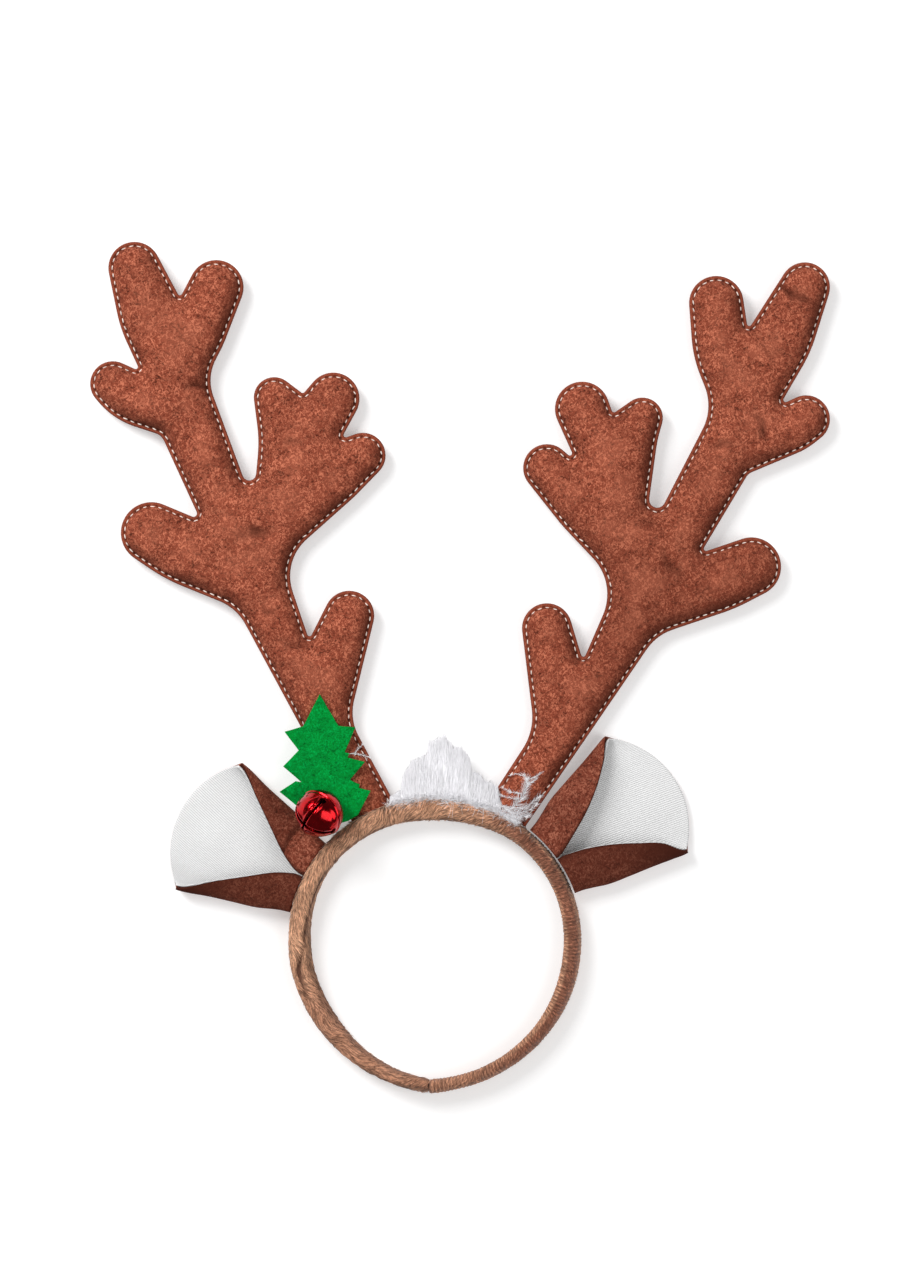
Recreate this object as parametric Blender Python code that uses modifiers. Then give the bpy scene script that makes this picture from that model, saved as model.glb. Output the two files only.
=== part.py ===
"""A reindeer antler headband, lying flat on its back.

A plush-covered band, open at its lower end, carries two padded felt antlers, two folded felt
ears with a white lining, a tuft of white fluff, a felt fir tree and a round jingle bell.
+X is to the right as one looks down on it, +Y runs towards the antlers' tips, +Z is up.
The origin is under the middle of the whole, on the surface that it lies on.
"""
import math

import bmesh
import bpy
from mathutils import Matrix, Vector

MM = 0.001
NAME = "reindeer_antler_headband"

# Clearance between pieces that touch
GAP = 0.3 * MM

# Band: a hoop, measured from the middle of its round
HOOP_X = -10.6 * MM
HOOP_Y = -121.7 * MM
BAND_DEPTH = 14.2 * MM
BAND_MIDDLE = 6.3 * MM
BAND_TIP_ROUND = 4.0 * MM
BAND_TIP_GAP = 0.5 * MM
BAND_SECTION_POWER = 2.6
BAND_SECTION_POINTS = 12
BAND_STATIONS = 42
BAND_TIP_STEPS = (0.0, 0.06, 0.25, 0.55)
BAND_TIP_LEAST = 0.2

# Band rows in degrees and millimetres: lean is how much further out the front edge stands
BAND_COLUMNS = ("name", "angle", "outer", "thick", "lean")
BAND_ROWS = (
    ("right_tip", -90.0, 66.2, 6.4, -0.6),
    ("right_end", -74.0, 63.8, 6.4, -1.2),
    ("right_low", -48.0, 63.4, 6.9, -2.2),
    ("right_side", -12.0, 64.0, 7.9, -2.6),
    ("right_ear", 24.0, 64.8, 7.8, -1.6),
    ("right_antler", 56.0, 64.9, 8.6, 0.6),
    ("crown", 86.0, 64.8, 10.2, 2.4),
    ("left_antler", 116.0, 64.9, 8.8, 2.4),
    ("left_ear", 148.0, 64.9, 8.0, 2.2),
    ("left_side", 182.0, 64.2, 9.2, 2.8),
    ("left_low", 216.0, 62.8, 8.6, 2.6),
    ("left_end", 248.0, 63.4, 6.3, 1.2),
    ("left_tip", 270.0, 66.2, 6.4, 0.4),
)

# The face that antlers, ears and fluff are seated on
SEAT_RADIUS = 65.2 * MM
SEAT_CUTTER_DEPTH = 60.0 * MM
SEAT_CUTTER_SIDES = 96

# Antlers: two padded felt panels, sewn together near the edge
PANEL_PLANE = 6.3 * MM
RIM_WIDTH = 2.6 * MM
RIM_HEIGHT = 1.2 * MM
SWELL_RING = 5.6 * MM
SWELL_FRONT = 5.1 * MM
SWELL_BACK = 5.9 * MM
SWELL_LENGTH = 5.0 * MM
ARC_STEP = math.radians(26.0)
NOTCH_STEP = math.radians(50.0)
NOTCH_RADIUS = 2.0 * MM
PANEL_GRID = 14.0 * MM

# Each antler's outline is a belt round these circles, in millimetres.
# Turn 1 goes round the outside of a tip, turn -1 round the inside of a notch or a bend.
CIRCLE_COLUMNS = ("name", "x", "y", "radius", "turn")
LEFT_ANTLER = (
    ("crown_tip", -143.0, 176.0, 11.5, 1),
    ("crown_side", -90.5, 169.0, 61.5, 1),
    ("brow_notch", -142.5, 132.5, 1.0, -1),
    ("brow_tip", -152.5, 125.0, 10.0, 1),
    ("brow_side", -132.0, 139.5, 35.0, 1),
    ("brow_bend", -135.5, 97.5, 6.0, -1),
    ("low_notch", -117.0, 68.0, 1.5, -1),
    ("low_tip", -135.5, 59.5, 13.5, 1),
    ("low_side", -91.5, 110.0, 80.0, 1),
    ("low_bend", -114.0, 8.5, 22.5, -1),
    ("base_outer", -38.0, -70.0, 7.0, 1),
    ("base_inner", -30.0, -69.5, 6.0, 1),
    ("spur_bend", -25.0, -19.5, 22.0, -1),
    ("spur_tip", -48.5, 23.0, 11.0, 1),
    ("spur_notch", -66.0, 15.0, 1.0, -1),
    ("stem_bend", -53.0, 40.5, 21.5, -1),
    ("palm_side", -95.5, 126.5, 71.0, 1),
    ("palm_low_tip", -42.5, 93.5, 10.0, 1),
    ("palm_low_notch", -50.0, 102.5, 1.0, -1),
    ("palm_mid_tip", -55.5, 118.5, 11.5, 1),
    ("palm_mid_notch", -69.0, 122.0, 1.0, -1),
    ("palm_high_tip", -81.5, 119.0, 9.0, 1),
    ("fork_side", -150.0, 99.0, 61.5, -1),
    ("fork_notch", -92.5, 85.5, 3.0, -1),
    ("fork_bend", -89.5, 126.5, 20.0, -1),
    ("side_side", -150.0, 163.0, 50.5, 1),
    ("side_tip", -107.0, 167.5, 12.0, 1),
    ("crown_notch", -123.0, 165.0, 1.0, -1),
)
RIGHT_ANTLER = (
    ("base_inner", 12.5, -70.0, 6.0, 1),
    ("base_outer", 19.5, -73.0, 6.0, 1),
    ("low_bend", 101.0, -4.5, 22.5, -1),
    ("low_side", 90.0, 100.0, 80.0, 1),
    ("low_tip", 128.5, 44.5, 13.0, 1),
    ("low_notch", 108.5, 52.5, 1.0, -1),
    ("brow_bend", 130.5, 81.5, 5.0, -1),
    ("brow_side", 136.0, 124.5, 32.5, 1),
    ("brow_tip", 152.5, 109.5, 10.5, 1),
    ("brow_notch", 143.5, 118.0, 1.0, -1),
    ("crown_side", 96.0, 164.5, 63.5, 1),
    ("crown_tip", 152.0, 167.5, 11.0, 1),
    ("crown_notch", 127.5, 151.5, 1.0, -1),
    ("side_tip", 113.0, 160.5, 12.0, 1),
    ("side_side", 156.0, 149.0, 54.0, 1),
    ("fork_bend", 87.0, 115.5, 22.5, -1),
    ("fork_notch", 87.0, 74.0, 3.5, -1),
    ("fork_side", 143.5, 88.5, 57.5, -1),
    ("palm_high_tip", 80.5, 110.0, 9.0, 1),
    ("palm_mid_notch", 68.0, 113.5, 1.0, -1),
    ("palm_mid_tip", 54.0, 114.0, 12.0, 1),
    ("palm_low_notch", 48.5, 94.5, 1.0, -1),
    ("palm_low_tip", 38.5, 88.0, 10.5, 1),
    ("palm_side", 99.5, 110.0, 72.0, 1),
    ("stem_bend", 42.0, 32.5, 23.0, -1),
    ("spur_notch", 54.5, 6.0, 1.0, -1),
    ("spur_tip", 38.5, 17.5, 11.0, 1),
    ("spur_bend", 6.5, -21.5, 25.5, -1),
)

# Ears: a fan of felt rolled into a scoop, lined with cloth, on a spoke of the hoop
EAR_FELT = 1.5 * MM
EAR_LINING = 1.0 * MM
EAR_MIDDLE = 6.3 * MM
EAR_HALF_DEPTH = 4.5 * MM
EAR_ROWS_ALONG = 7
EAR_ROWS_ACROSS = 16
EAR_FOLD_SHARE = 0.5
EAR_SECTION_POWER = 3.0
EAR_FAN_RADIUS = 40.3 * MM
EAR_CORNER = 112.6 * MM
EAR_HALF_CHORD = 30.0 * MM
EAR_HALF_SEAT = 16.0 * MM
EAR_SEAM = math.radians(178.0)
EAR_LEAST_LAP = math.radians(97.0)
EARS = {"ear_left": (152.4, 0.0 * MM), "ear_right": (35.4, 1.5 * MM)}

# Ear rows in millimetres: out is the distance from the hoop's middle, half_width the fold's and
# half_open the raw edge's distance from the ear's middle line
EAR_COLUMNS = ("name", "out", "half_width", "half_open")
EAR_SECTIONS = (
    ("seat", 62.0, 15.2, 0.0),
    ("mouth", 69.2, 17.0, 0.5),
    ("throat", 82.0, 22.2, 8.4),
    ("flare", 93.0, 24.4, 16.6),
    ("shoulder", 103.0, 27.2, 23.8),
    ("corner", 112.6, 30.0, 30.0),
    ("rim", 130.0, 30.2, 30.2),
)

# Fluff: locks in two rows, fused to a curved backing on the hoop
FLUFF_BACKING = 3.0 * MM
FLUFF_FROM = 73.0
FLUFF_TO = 105.0
FLUFF_LOW = 3.0 * MM
FLUFF_HIGH = 13.5 * MM
FLUFF_STEPS = 8
LOCK_SIDES = 7
LOCK_TIP = 0.5
LOCK_ROW_COLUMNS = ("name", "z", "share", "tilt", "shift")
LOCK_ROWS = (
    ("back", 6.4, 0.8, 3.0, 1.7),
    ("front", 9.9, 1.0, -3.0, 0.0),
)
LOCK_COLUMNS = ("name", "angle", "reach", "width", "lean")
FLUFF_LOCKS = (
    ("left_outer", 103.0, 8.0, 3.4, 1.0),
    ("left_mid", 100.5, 13.0, 4.4, -2.0),
    ("left_inner", 96.0, 17.5, 5.0, -2.0),
    ("peak_left", 91.5, 24.0, 5.0, -2.0),
    ("peak_right", 87.0, 23.0, 5.2, -6.0),
    ("right_inner", 82.5, 18.5, 5.0, -8.0),
    ("right_mid", 79.5, 13.0, 4.4, -4.0),
    ("right_outer", 76.5, 8.0, 3.4, 0.0),
)

# Tree: flat felt, in millimetres, clockwise from its top
TREE_FELT = 2.0 * MM
STEM_SEAT_INSET = 8.6 * MM
TREE_COLUMNS = ("name", "x", "y")
TREE_OUTLINE = (
    ("top", -61.3, -11.4),
    ("right_shoulder", -53.1, -25.3),
    ("right_tip_high", -45.6, -25.9),
    ("right_waist_high", -50.3, -36.9),
    ("right_tip_mid", -41.4, -41.1),
    ("right_waist_low", -48.0, -49.0),
    ("right_tip_low", -38.9, -53.8),
    ("right_foot", -44.5, -64.4),
    ("foot", -48.8, -67.4),
    ("foot_left", -59.2, -72.6),
    ("left_foot", -72.0, -59.8),
    ("left_tip_low", -78.9, -54.2),
    ("left_waist_low", -69.3, -50.0),
    ("left_tip_mid", -77.3, -43.1),
    ("left_waist_high", -70.5, -36.0),
    ("left_tip_high", -76.7, -27.9),
    ("left_shoulder", -68.5, -25.5),
)

# Bell: two pressed halves, crimped together, with a cross of slots round its pole
BELL_X = -61.0 * MM
BELL_Y = -63.2 * MM
BELL_RADIUS = 10.5 * MM
BELL_WALL = 0.7 * MM
BELL_STEPS = 20
BELL_ARC_STEP = math.radians(15.0)
BELL_POLE = Vector((-0.61, -0.42, 0.67)).normalized()
BELL_SLOT_SIDE = Vector((0.306, 0.655, 0.69))
BELL_SEAM = math.radians(99.0)
CRIMP_WIDTH = 0.9 * MM
CRIMP_PROUD = 0.35 * MM
SLOT_WIDTH = 1.1 * MM
SLOT_REACH = math.radians(78.0)
SLOT_HOLE = 1.5 * MM
LOOP_RADIUS = 1.7 * MM
LOOP_WIRE = 0.4 * MM
LOOP_LIFT = 0.7
SLOT_CLEARANCE = 2.0 * MM
SLOT_HOLE_DEPTH = 6.0 * MM
PELLET_RADIUS = 2.6 * MM

# Colours and finishes: red, green, blue, roughness, metallic
FINISHES = {
    "plush": (0.33, 0.17, 0.08, 0.95, 0.0),
    "brown_felt": (0.22, 0.055, 0.025, 0.95, 0.0),
    "white_cloth": (0.86, 0.86, 0.86, 0.9, 0.0),
    "fluff": (0.88, 0.87, 0.90, 0.95, 0.0),
    "green_felt": (0.01, 0.27, 0.04, 0.95, 0.0),
    "red_metal": (0.5, 0.008, 0.012, 0.2, 1.0),
    "steel": (0.55, 0.55, 0.57, 0.35, 1.0),
}


def clear_scene():
    for item in list(bpy.data.objects):
        bpy.data.objects.remove(item, do_unlink=True)
    for group in list(bpy.data.collections):
        bpy.data.collections.remove(group)


def new_collection(name):
    group = bpy.data.collections.new(name)
    bpy.context.scene.collection.children.link(group)
    return group


def new_material(name, finish):
    red, green, blue, roughness, metallic = FINISHES[finish]
    material = bpy.data.materials.new(name)
    material.use_nodes = True
    shader = material.node_tree.nodes["Principled BSDF"]
    shader.inputs["Base Color"].default_value = (red, green, blue, 1.0)
    shader.inputs["Roughness"].default_value = roughness
    shader.inputs["Metallic"].default_value = metallic
    material.diffuse_color = (red, green, blue, 1.0)
    return material


def add_part(name, data, finish, group):
    """Put a mesh or curve in the part's collection, with a material of its own."""
    data.materials.append(new_material(name, finish))
    part = bpy.data.objects.new(name, data)
    group.objects.link(part)
    return part


def add_cutter(name, mesh, group):
    cutter = bpy.data.objects.new(name, mesh)
    cutter.hide_render = True
    cutter.display_type = "WIRE"
    group.objects.link(cutter)
    return cutter


def cut(part, cutter, operation="DIFFERENCE"):
    change = part.modifiers.new(operation.lower(), "BOOLEAN")
    change.operation = operation
    change.solver = "EXACT"
    if isinstance(cutter, bpy.types.Collection):
        change.operand_type = "COLLECTION"
        change.collection = cutter
    else:
        change.object = cutter
    return change


def to_mesh(shape, name):
    """Turn a finished bmesh into a mesh whose faces point out."""
    bmesh.ops.recalc_face_normals(shape, faces=shape.faces)
    mesh = bpy.data.meshes.new(name)
    shape.to_mesh(mesh)
    shape.free()
    return mesh


def shade_round(mesh, degrees=35.0):
    mesh.shade_smooth()
    mesh.set_sharp_from_angle(angle=math.radians(degrees))


def named_rows(columns, rows):
    return [dict(zip(columns, row)) for row in rows]


def read_smooth(rows, key, column, at):
    """Read a column of the rows at a place between them, along a smooth curve."""
    places = [row[key] for row in rows]
    values = [row[column] for row in rows]
    last = len(rows) - 1
    at = min(max(at, places[0]), places[last])
    index = 0
    while index < last - 1 and at > places[index + 1]:
        index += 1

    def slope(i):
        low = max(i - 1, 0)
        high = min(i + 1, last)
        return (values[high] - values[low]) / (places[high] - places[low])

    span = places[index + 1] - places[index]
    t = (at - places[index]) / span
    start = values[index] * (1 + 2 * t) * (1 - t) ** 2
    end = values[index + 1] * t * t * (3 - 2 * t)
    leave = slope(index) * span * t * (1 - t) ** 2
    arrive = slope(index + 1) * span * t * t * (t - 1)
    return start + end + leave + arrive


def loft(shape, rings, closed=True):
    """Join rings of the same number of vertices with faces, and return those faces."""
    faces = []
    for low, high in zip(rings, rings[1:]):
        count = len(low)
        for i in range(count if closed else count - 1):
            j = (i + 1) % count
            faces.append(shape.faces.new((low[i], low[j], high[j], high[i])))
    return faces


def hoop_point(angle, radius, z=0.0):
    """A place by its angle in degrees and its distance from the middle of the hoop."""
    turn = math.radians(angle)
    return Vector((HOOP_X + radius * math.cos(turn), HOOP_Y + radius * math.sin(turn), z))


def round_power(value, power):
    return math.copysign(abs(value) ** (2.0 / power), value)


def band_section(angle, scale):
    """One section of the band: a rounded oblong, leaning, and flat where it rests."""
    rows = named_rows(BAND_COLUMNS, BAND_ROWS)
    outer = read_smooth(rows, "angle", "outer", angle) * MM
    thick = read_smooth(rows, "angle", "thick", angle) * MM
    lean = read_smooth(rows, "angle", "lean", angle) * MM
    points = []
    for i in range(BAND_SECTION_POINTS):
        turn = 2.0 * math.pi * i / BAND_SECTION_POINTS
        across = 0.5 * thick * round_power(math.cos(turn), BAND_SECTION_POWER) * scale
        up = 0.5 * BAND_DEPTH * round_power(math.sin(turn), BAND_SECTION_POWER) * scale
        radius = outer - 0.5 * thick + across + lean * up / BAND_DEPTH
        points.append(hoop_point(angle, radius, max(BAND_MIDDLE + up, 0.0)))
    return points


def make_headband(group):
    """The plush band: a loft along the hoop, with rounded tips that nearly meet below."""
    tip_angle = math.degrees(BAND_TIP_ROUND / SEAT_RADIUS)
    half_gap = math.degrees(0.5 * BAND_TIP_GAP / SEAT_RADIUS)
    start = -90.0 + half_gap
    end = 270.0 - half_gap
    tip = []
    for share in BAND_TIP_STEPS:
        scale = math.sqrt(1.0 - (1.0 - share) ** 2)
        tip.append((tip_angle * share, max(scale, BAND_TIP_LEAST)))
    stations = [(start + angle, scale) for angle, scale in tip]
    for i in range(BAND_STATIONS + 1):
        along = start + tip_angle + (end - start - 2.0 * tip_angle) * i / BAND_STATIONS
        stations.append((along, 1.0))
    stations += [(end - angle, scale) for angle, scale in reversed(tip)]
    shape = bmesh.new()
    rings = []
    for angle, scale in stations:
        rings.append([shape.verts.new(point) for point in band_section(angle, scale)])
    loft(shape, rings)
    shape.faces.new(rings[0])
    shape.faces.new(rings[-1])
    mesh = to_mesh(shape, "headband")
    shade_round(mesh, 50.0)
    return add_part("headband", mesh, "plush", group)


def belt_samples(rows):
    """Follow the belt round the circles: centre, signed radius and heading of each sample."""
    headings = []
    for here, there in zip(rows, rows[1:] + rows[:1]):
        across = Vector((there["x"] - here["x"], there["y"] - here["y"]))
        rise = there["turn"] * there["radius"] - here["turn"] * here["radius"]
        headings.append(math.atan2(across.y, across.x) - math.asin(rise / across.length))
    samples = []
    for i, row in enumerate(rows):
        first = headings[i - 1]
        sweep = row["turn"] * ((row["turn"] * (headings[i] - first)) % (2.0 * math.pi))
        radius = row["radius"] * MM
        step = NOTCH_STEP if radius < NOTCH_RADIUS else ARC_STEP
        steps = max(2, math.ceil(abs(sweep) / step))
        centre = Vector((row["x"], row["y"])) * MM
        for k in range(steps + 1):
            samples.append((centre, row["turn"] * radius, first + sweep * k / steps))
    return samples


def belt_ring(samples, inset, z):
    """The belt's points, moved inwards by an inset."""
    points = []
    for centre, radius, heading in samples:
        reach = radius - inset
        x = centre.x + reach * math.sin(heading)
        y = centre.y - reach * math.cos(heading)
        points.append(Vector((x, y, z)))
    return points


def distance_to_belt(point, outline):
    nearest = 1.0
    for start, end in zip(outline, outline[1:] + outline[:1]):
        edge = Vector((end.x - start.x, end.y - start.y))
        to_point = Vector((point.x - start.x, point.y - start.y))
        t = min(max(to_point.dot(edge) / max(edge.length_squared, 1e-12), 0.0), 1.0)
        nearest = min(nearest, (to_point - edge * t).length)
    return nearest


def swell_height(distance, swell):
    """Height of the padding over the seam's plane, by distance from the edge."""
    inside = max(distance - RIM_WIDTH, 0.0)
    return RIM_HEIGHT + swell * (1.0 - math.exp(-inside / SWELL_LENGTH))


def cut_by_grid(shape, faces, points):
    """Divide faces by planes across X and across Y, so that the padding can swell."""
    for axis in (0, 1):
        low = min(point[axis] for point in points)
        high = max(point[axis] for point in points)
        count = math.floor((high - low) / PANEL_GRID)
        for i in range(1, count + 1):
            normal = Vector((0.0, 0.0, 0.0))
            normal[axis] = 1.0
            place = Vector((0.0, 0.0, 0.0))
            place[axis] = low + (high - low) * i / (count + 1)
            faces = [face for face in faces if face.is_valid]
            edges = {edge for face in faces for edge in face.edges}
            verts = {vert for face in faces for vert in face.verts}
            cut_result = bmesh.ops.bisect_plane(
                shape, geom=list(verts) + list(edges) + faces, dist=1e-6,
                plane_co=place, plane_no=normal)
            faces = [item for item in cut_result["geom"] if isinstance(item, bmesh.types.BMFace)]
    return faces


def make_panel(name, rows, side, group, seat_cutter):
    """One padded felt panel: flat on the seam's plane, and swollen to one side of it."""
    samples = belt_samples(named_rows(CIRCLE_COLUMNS, rows))
    plane = PANEL_PLANE + side * 0.5 * GAP
    swell = SWELL_FRONT if side > 0 else SWELL_BACK
    outline = belt_ring(samples, 0.0, plane)
    shape = bmesh.new()
    flat = [shape.verts.new(point) for point in outline]
    rings = []
    for inset in (0.0, RIM_WIDTH, SWELL_RING):
        points = belt_ring(samples, inset, plane + side * RIM_HEIGHT)
        rings.append([shape.verts.new(point) for point in points])
    shape.faces.new(flat)
    loft(shape, [flat, rings[0]])
    padded = loft(shape, rings)
    padded.append(shape.faces.new(rings[-1]))
    padded = cut_by_grid(shape, padded, outline)
    for vert in {vert for face in padded for vert in face.verts}:
        height = swell_height(distance_to_belt(vert.co, outline), swell)
        vert.co.z = max(plane + side * height, 0.0)
    bmesh.ops.triangulate(shape, faces=shape.faces, ngon_method="BEAUTY")
    mesh = to_mesh(shape, name)
    shade_round(mesh, 50.0)
    part = add_part(name, mesh, "brown_felt", group)
    cut(part, seat_cutter)
    return part


def make_seat_cutter(group):
    """A disc that trims the antlers' feet to the band's outer face."""
    shape = bmesh.new()
    bmesh.ops.create_cone(shape, cap_ends=True, segments=SEAT_CUTTER_SIDES,
                          radius1=SEAT_RADIUS, radius2=SEAT_RADIUS, depth=SEAT_CUTTER_DEPTH)
    bmesh.ops.translate(shape, verts=shape.verts, vec=(HOOP_X, HOOP_Y, PANEL_PLANE))
    return add_cutter("seat_cutter", to_mesh(shape, "seat_cutter"), group)


def ear_angle(across, lap):
    """The angle round the scoop: a quarter turn to the fold, then on to the raw edge."""
    reach = abs(across)
    if reach <= EAR_FOLD_SHARE:
        angle = 0.5 * math.pi * reach / EAR_FOLD_SHARE
    else:
        past = (reach - EAR_FOLD_SHARE) / (1.0 - EAR_FOLD_SHARE)
        angle = 0.5 * math.pi + (lap - 0.5 * math.pi) * past
    return math.copysign(angle, across)


def ear_round(value):
    """A sine or cosine, changed so that the folds are round and the flaps are flat."""
    return round_power(value, EAR_SECTION_POWER)


def ear_surface(shape, spoke, shift, inset):
    """The ear's scoop as an open sheet of vertices, drawn in by an inset."""
    sections = named_rows(EAR_COLUMNS, EAR_SECTIONS)
    turn = math.radians(spoke)
    along = Vector((math.cos(turn), math.sin(turn), 0.0))
    side = Vector((-math.sin(turn), math.cos(turn), 0.0))
    hoop = Vector((HOOP_X, HOOP_Y, 0.0))
    fan_middle = EAR_CORNER - math.sqrt(EAR_FAN_RADIUS ** 2 - EAR_HALF_CHORD ** 2)
    rows = []
    for i in range(EAR_ROWS_ALONG + 1):
        u = i / EAR_ROWS_ALONG
        edge_out = SEAT_RADIUS + u * (EAR_CORNER - SEAT_RADIUS)
        edge_open = read_smooth(sections, "out", "half_open", edge_out / MM)
        edge_fold = read_smooth(sections, "out", "half_width", edge_out / MM)
        open_share = min(max(edge_open / edge_fold, 0.0), 1.0)
        lap = math.pi - math.asin(open_share ** (0.5 * EAR_SECTION_POWER))
        lap = min(max(lap, EAR_LEAST_LAP), EAR_SEAM)
        row = []
        for j in range(EAR_ROWS_ACROSS + 1):
            v = 2.0 * j / EAR_ROWS_ACROSS - 1.0
            seat_side = EAR_HALF_SEAT * ear_round(math.sin(ear_angle(v, EAR_SEAM)))
            start = math.sqrt((SEAT_RADIUS + GAP) ** 2 - seat_side ** 2)
            end_side = EAR_HALF_CHORD * ear_round(math.sin(ear_angle(v, EAR_LEAST_LAP)))
            end = fan_middle + math.sqrt(EAR_FAN_RADIUS ** 2 - end_side ** 2) + shift
            out = start + u * (end - start)
            half_width = read_smooth(sections, "out", "half_width", (out - u * shift) / MM) * MM
            angle = ear_angle(v, lap)
            across = (half_width - inset) * ear_round(math.sin(angle))
            up = EAR_MIDDLE - (EAR_HALF_DEPTH - inset) * ear_round(math.cos(angle))
            place = hoop + along * out + side * across
            place.z = up
            row.append(shape.verts.new(place))
        rows.append(row)
    return rows


def make_ear_layer(name, ear, inset, thickness, outwards, finish, group):
    """One layer of an ear: an open scoop given its thickness by Solidify."""
    spoke, shift = EARS[ear]
    shape = bmesh.new()
    loft(shape, ear_surface(shape, spoke, shift, inset), closed=False)
    mesh = bpy.data.meshes.new(name)
    shape.to_mesh(mesh)
    shape.free()
    shade_round(mesh, 60.0)
    part = add_part(name, mesh, finish, group)
    wall = part.modifiers.new("wall", "SOLIDIFY")
    wall.thickness = thickness
    wall.offset = outwards
    wall.use_even_offset = True
    return part


def make_ears(group):
    for ear in EARS:
        make_ear_layer(ear + "_felt", ear, 0.0, EAR_FELT, 1.0, "brown_felt", group)
        make_ear_layer(ear + "_lining", ear, GAP, EAR_LINING, -1.0, "white_cloth", group)


def make_lock(angle, reach, width, lean, z, tilt, group):
    """One lock of the fluff: a tapered tuft that stands on the backing."""
    shape = bmesh.new()
    bmesh.ops.create_cone(shape, cap_ends=True, segments=LOCK_SIDES, radius1=width,
                          radius2=LOCK_TIP * width, depth=reach)
    bmesh.ops.translate(shape, verts=shape.verts, vec=(0.0, 0.0, 0.5 * reach))
    bmesh.ops.rotate(shape, verts=shape.verts, cent=(0, 0, 0),
                     matrix=Matrix.Rotation(math.radians(90.0 + tilt), 3, "Y"))
    bmesh.ops.rotate(shape, verts=shape.verts, cent=(0, 0, 0),
                     matrix=Matrix.Rotation(math.radians(angle + lean), 3, "Z"))
    foot = hoop_point(angle, SEAT_RADIUS + 0.5 * FLUFF_BACKING, z)
    bmesh.ops.translate(shape, verts=shape.verts, vec=foot)
    return add_cutter("lock", to_mesh(shape, "lock"), group)


def make_fluff(group, lock_group):
    """The white fluff: a curved backing on the band, with its locks fused to it."""
    shape = bmesh.new()
    rings = []
    low = SEAT_RADIUS
    high = SEAT_RADIUS + FLUFF_BACKING
    for i in range(FLUFF_STEPS + 1):
        angle = FLUFF_FROM + (FLUFF_TO - FLUFF_FROM) * i / FLUFF_STEPS
        corners = ((low, FLUFF_LOW), (high, FLUFF_LOW), (high, FLUFF_HIGH), (low, FLUFF_HIGH))
        rings.append([shape.verts.new(hoop_point(angle, radius, z)) for radius, z in corners])
    loft(shape, rings)
    shape.faces.new(rings[0])
    shape.faces.new(rings[-1])
    part = add_part("fluff", to_mesh(shape, "fluff"), "fluff", group)
    for line in named_rows(LOCK_ROW_COLUMNS, LOCK_ROWS):
        for row in named_rows(LOCK_COLUMNS, FLUFF_LOCKS):
            make_lock(row["angle"] - line["shift"], row["reach"] * line["share"] * MM,
                      row["width"] * MM, row["lean"], line["z"] * MM, line["tilt"], lock_group)
    cut(part, lock_group, "UNION")
    return part


def tree_back():
    """The tree lies on the padding of the antler's stem, which is narrow there."""
    return PANEL_PLANE + 0.5 * GAP + swell_height(STEM_SEAT_INSET, SWELL_FRONT) + GAP


def make_tree(group):
    """The felt fir tree: a flat outline with the felt's thickness."""
    curve = bpy.data.curves.new("tree", "CURVE")
    curve.dimensions = "2D"
    curve.fill_mode = "BOTH"
    curve.extrude = 0.5 * TREE_FELT
    rows = named_rows(TREE_COLUMNS, TREE_OUTLINE)
    spline = curve.splines.new("POLY")
    spline.points.add(len(rows) - 1)
    for point, row in zip(spline.points, rows):
        point.co = (row["x"] * MM, row["y"] * MM, 0.0, 1.0)
    spline.use_cyclic_u = True
    part = add_part("tree", curve, "green_felt", group)
    part.location.z = tree_back() + 0.5 * TREE_FELT
    return part


def bell_centre():
    return Vector((BELL_X, BELL_Y, tree_back() + TREE_FELT + GAP + BELL_RADIUS))


def bell_matrix():
    """The bell's own axis stands along its pole, its first slot towards the slot side."""
    side = (BELL_SLOT_SIDE - BELL_POLE * BELL_SLOT_SIDE.dot(BELL_POLE)).normalized()
    across = BELL_POLE.cross(side)
    turn = Matrix((side, across, BELL_POLE)).transposed()
    return Matrix.Translation(bell_centre()) @ turn.to_4x4()


def arc_points(radius, start, end):
    """Points of an arc in the profile's plane, by angles from the pole."""
    count = max(1, math.ceil(abs(end - start) / BELL_ARC_STEP))
    points = []
    for i in range(count + 1):
        angle = start + (end - start) * i / count
        points.append((radius * math.sin(angle), radius * math.cos(angle)))
    return points


def turned(name, profile, finish, group):
    """A solid turned from its profile by a Screw modifier."""
    mesh = bpy.data.meshes.new(name)
    verts = [(x, 0.0, z) for x, z in profile]
    edges = [(i, i + 1) for i in range(len(verts) - 1)]
    mesh.from_pydata(verts, edges, [])
    part = add_part(name, mesh, finish, group)
    screw = part.modifiers.new("turn", "SCREW")
    screw.steps = BELL_STEPS
    screw.render_steps = BELL_STEPS
    screw.use_merge_vertices = True
    screw.merge_threshold = 0.00001
    part.matrix_world = bell_matrix()
    return part


def make_bell_bowl(group, slot_group):
    """The slotted half, from its pole to the crimped seam."""
    inner = BELL_RADIUS - BELL_WALL
    proud = BELL_RADIUS + CRIMP_PROUD
    crimp = CRIMP_WIDTH / BELL_RADIUS
    profile = arc_points(BELL_RADIUS, 0.0, BELL_SEAM - crimp)
    profile += arc_points(proud, BELL_SEAM - crimp * 0.8, BELL_SEAM)
    profile += arc_points(inner, BELL_SEAM, 0.0)
    profile[0] = (0.0, BELL_RADIUS)
    profile[-1] = (0.0, inner)
    part = turned("bell_bowl", profile, "red_metal", group)
    cut(part, slot_group)
    return part


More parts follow.
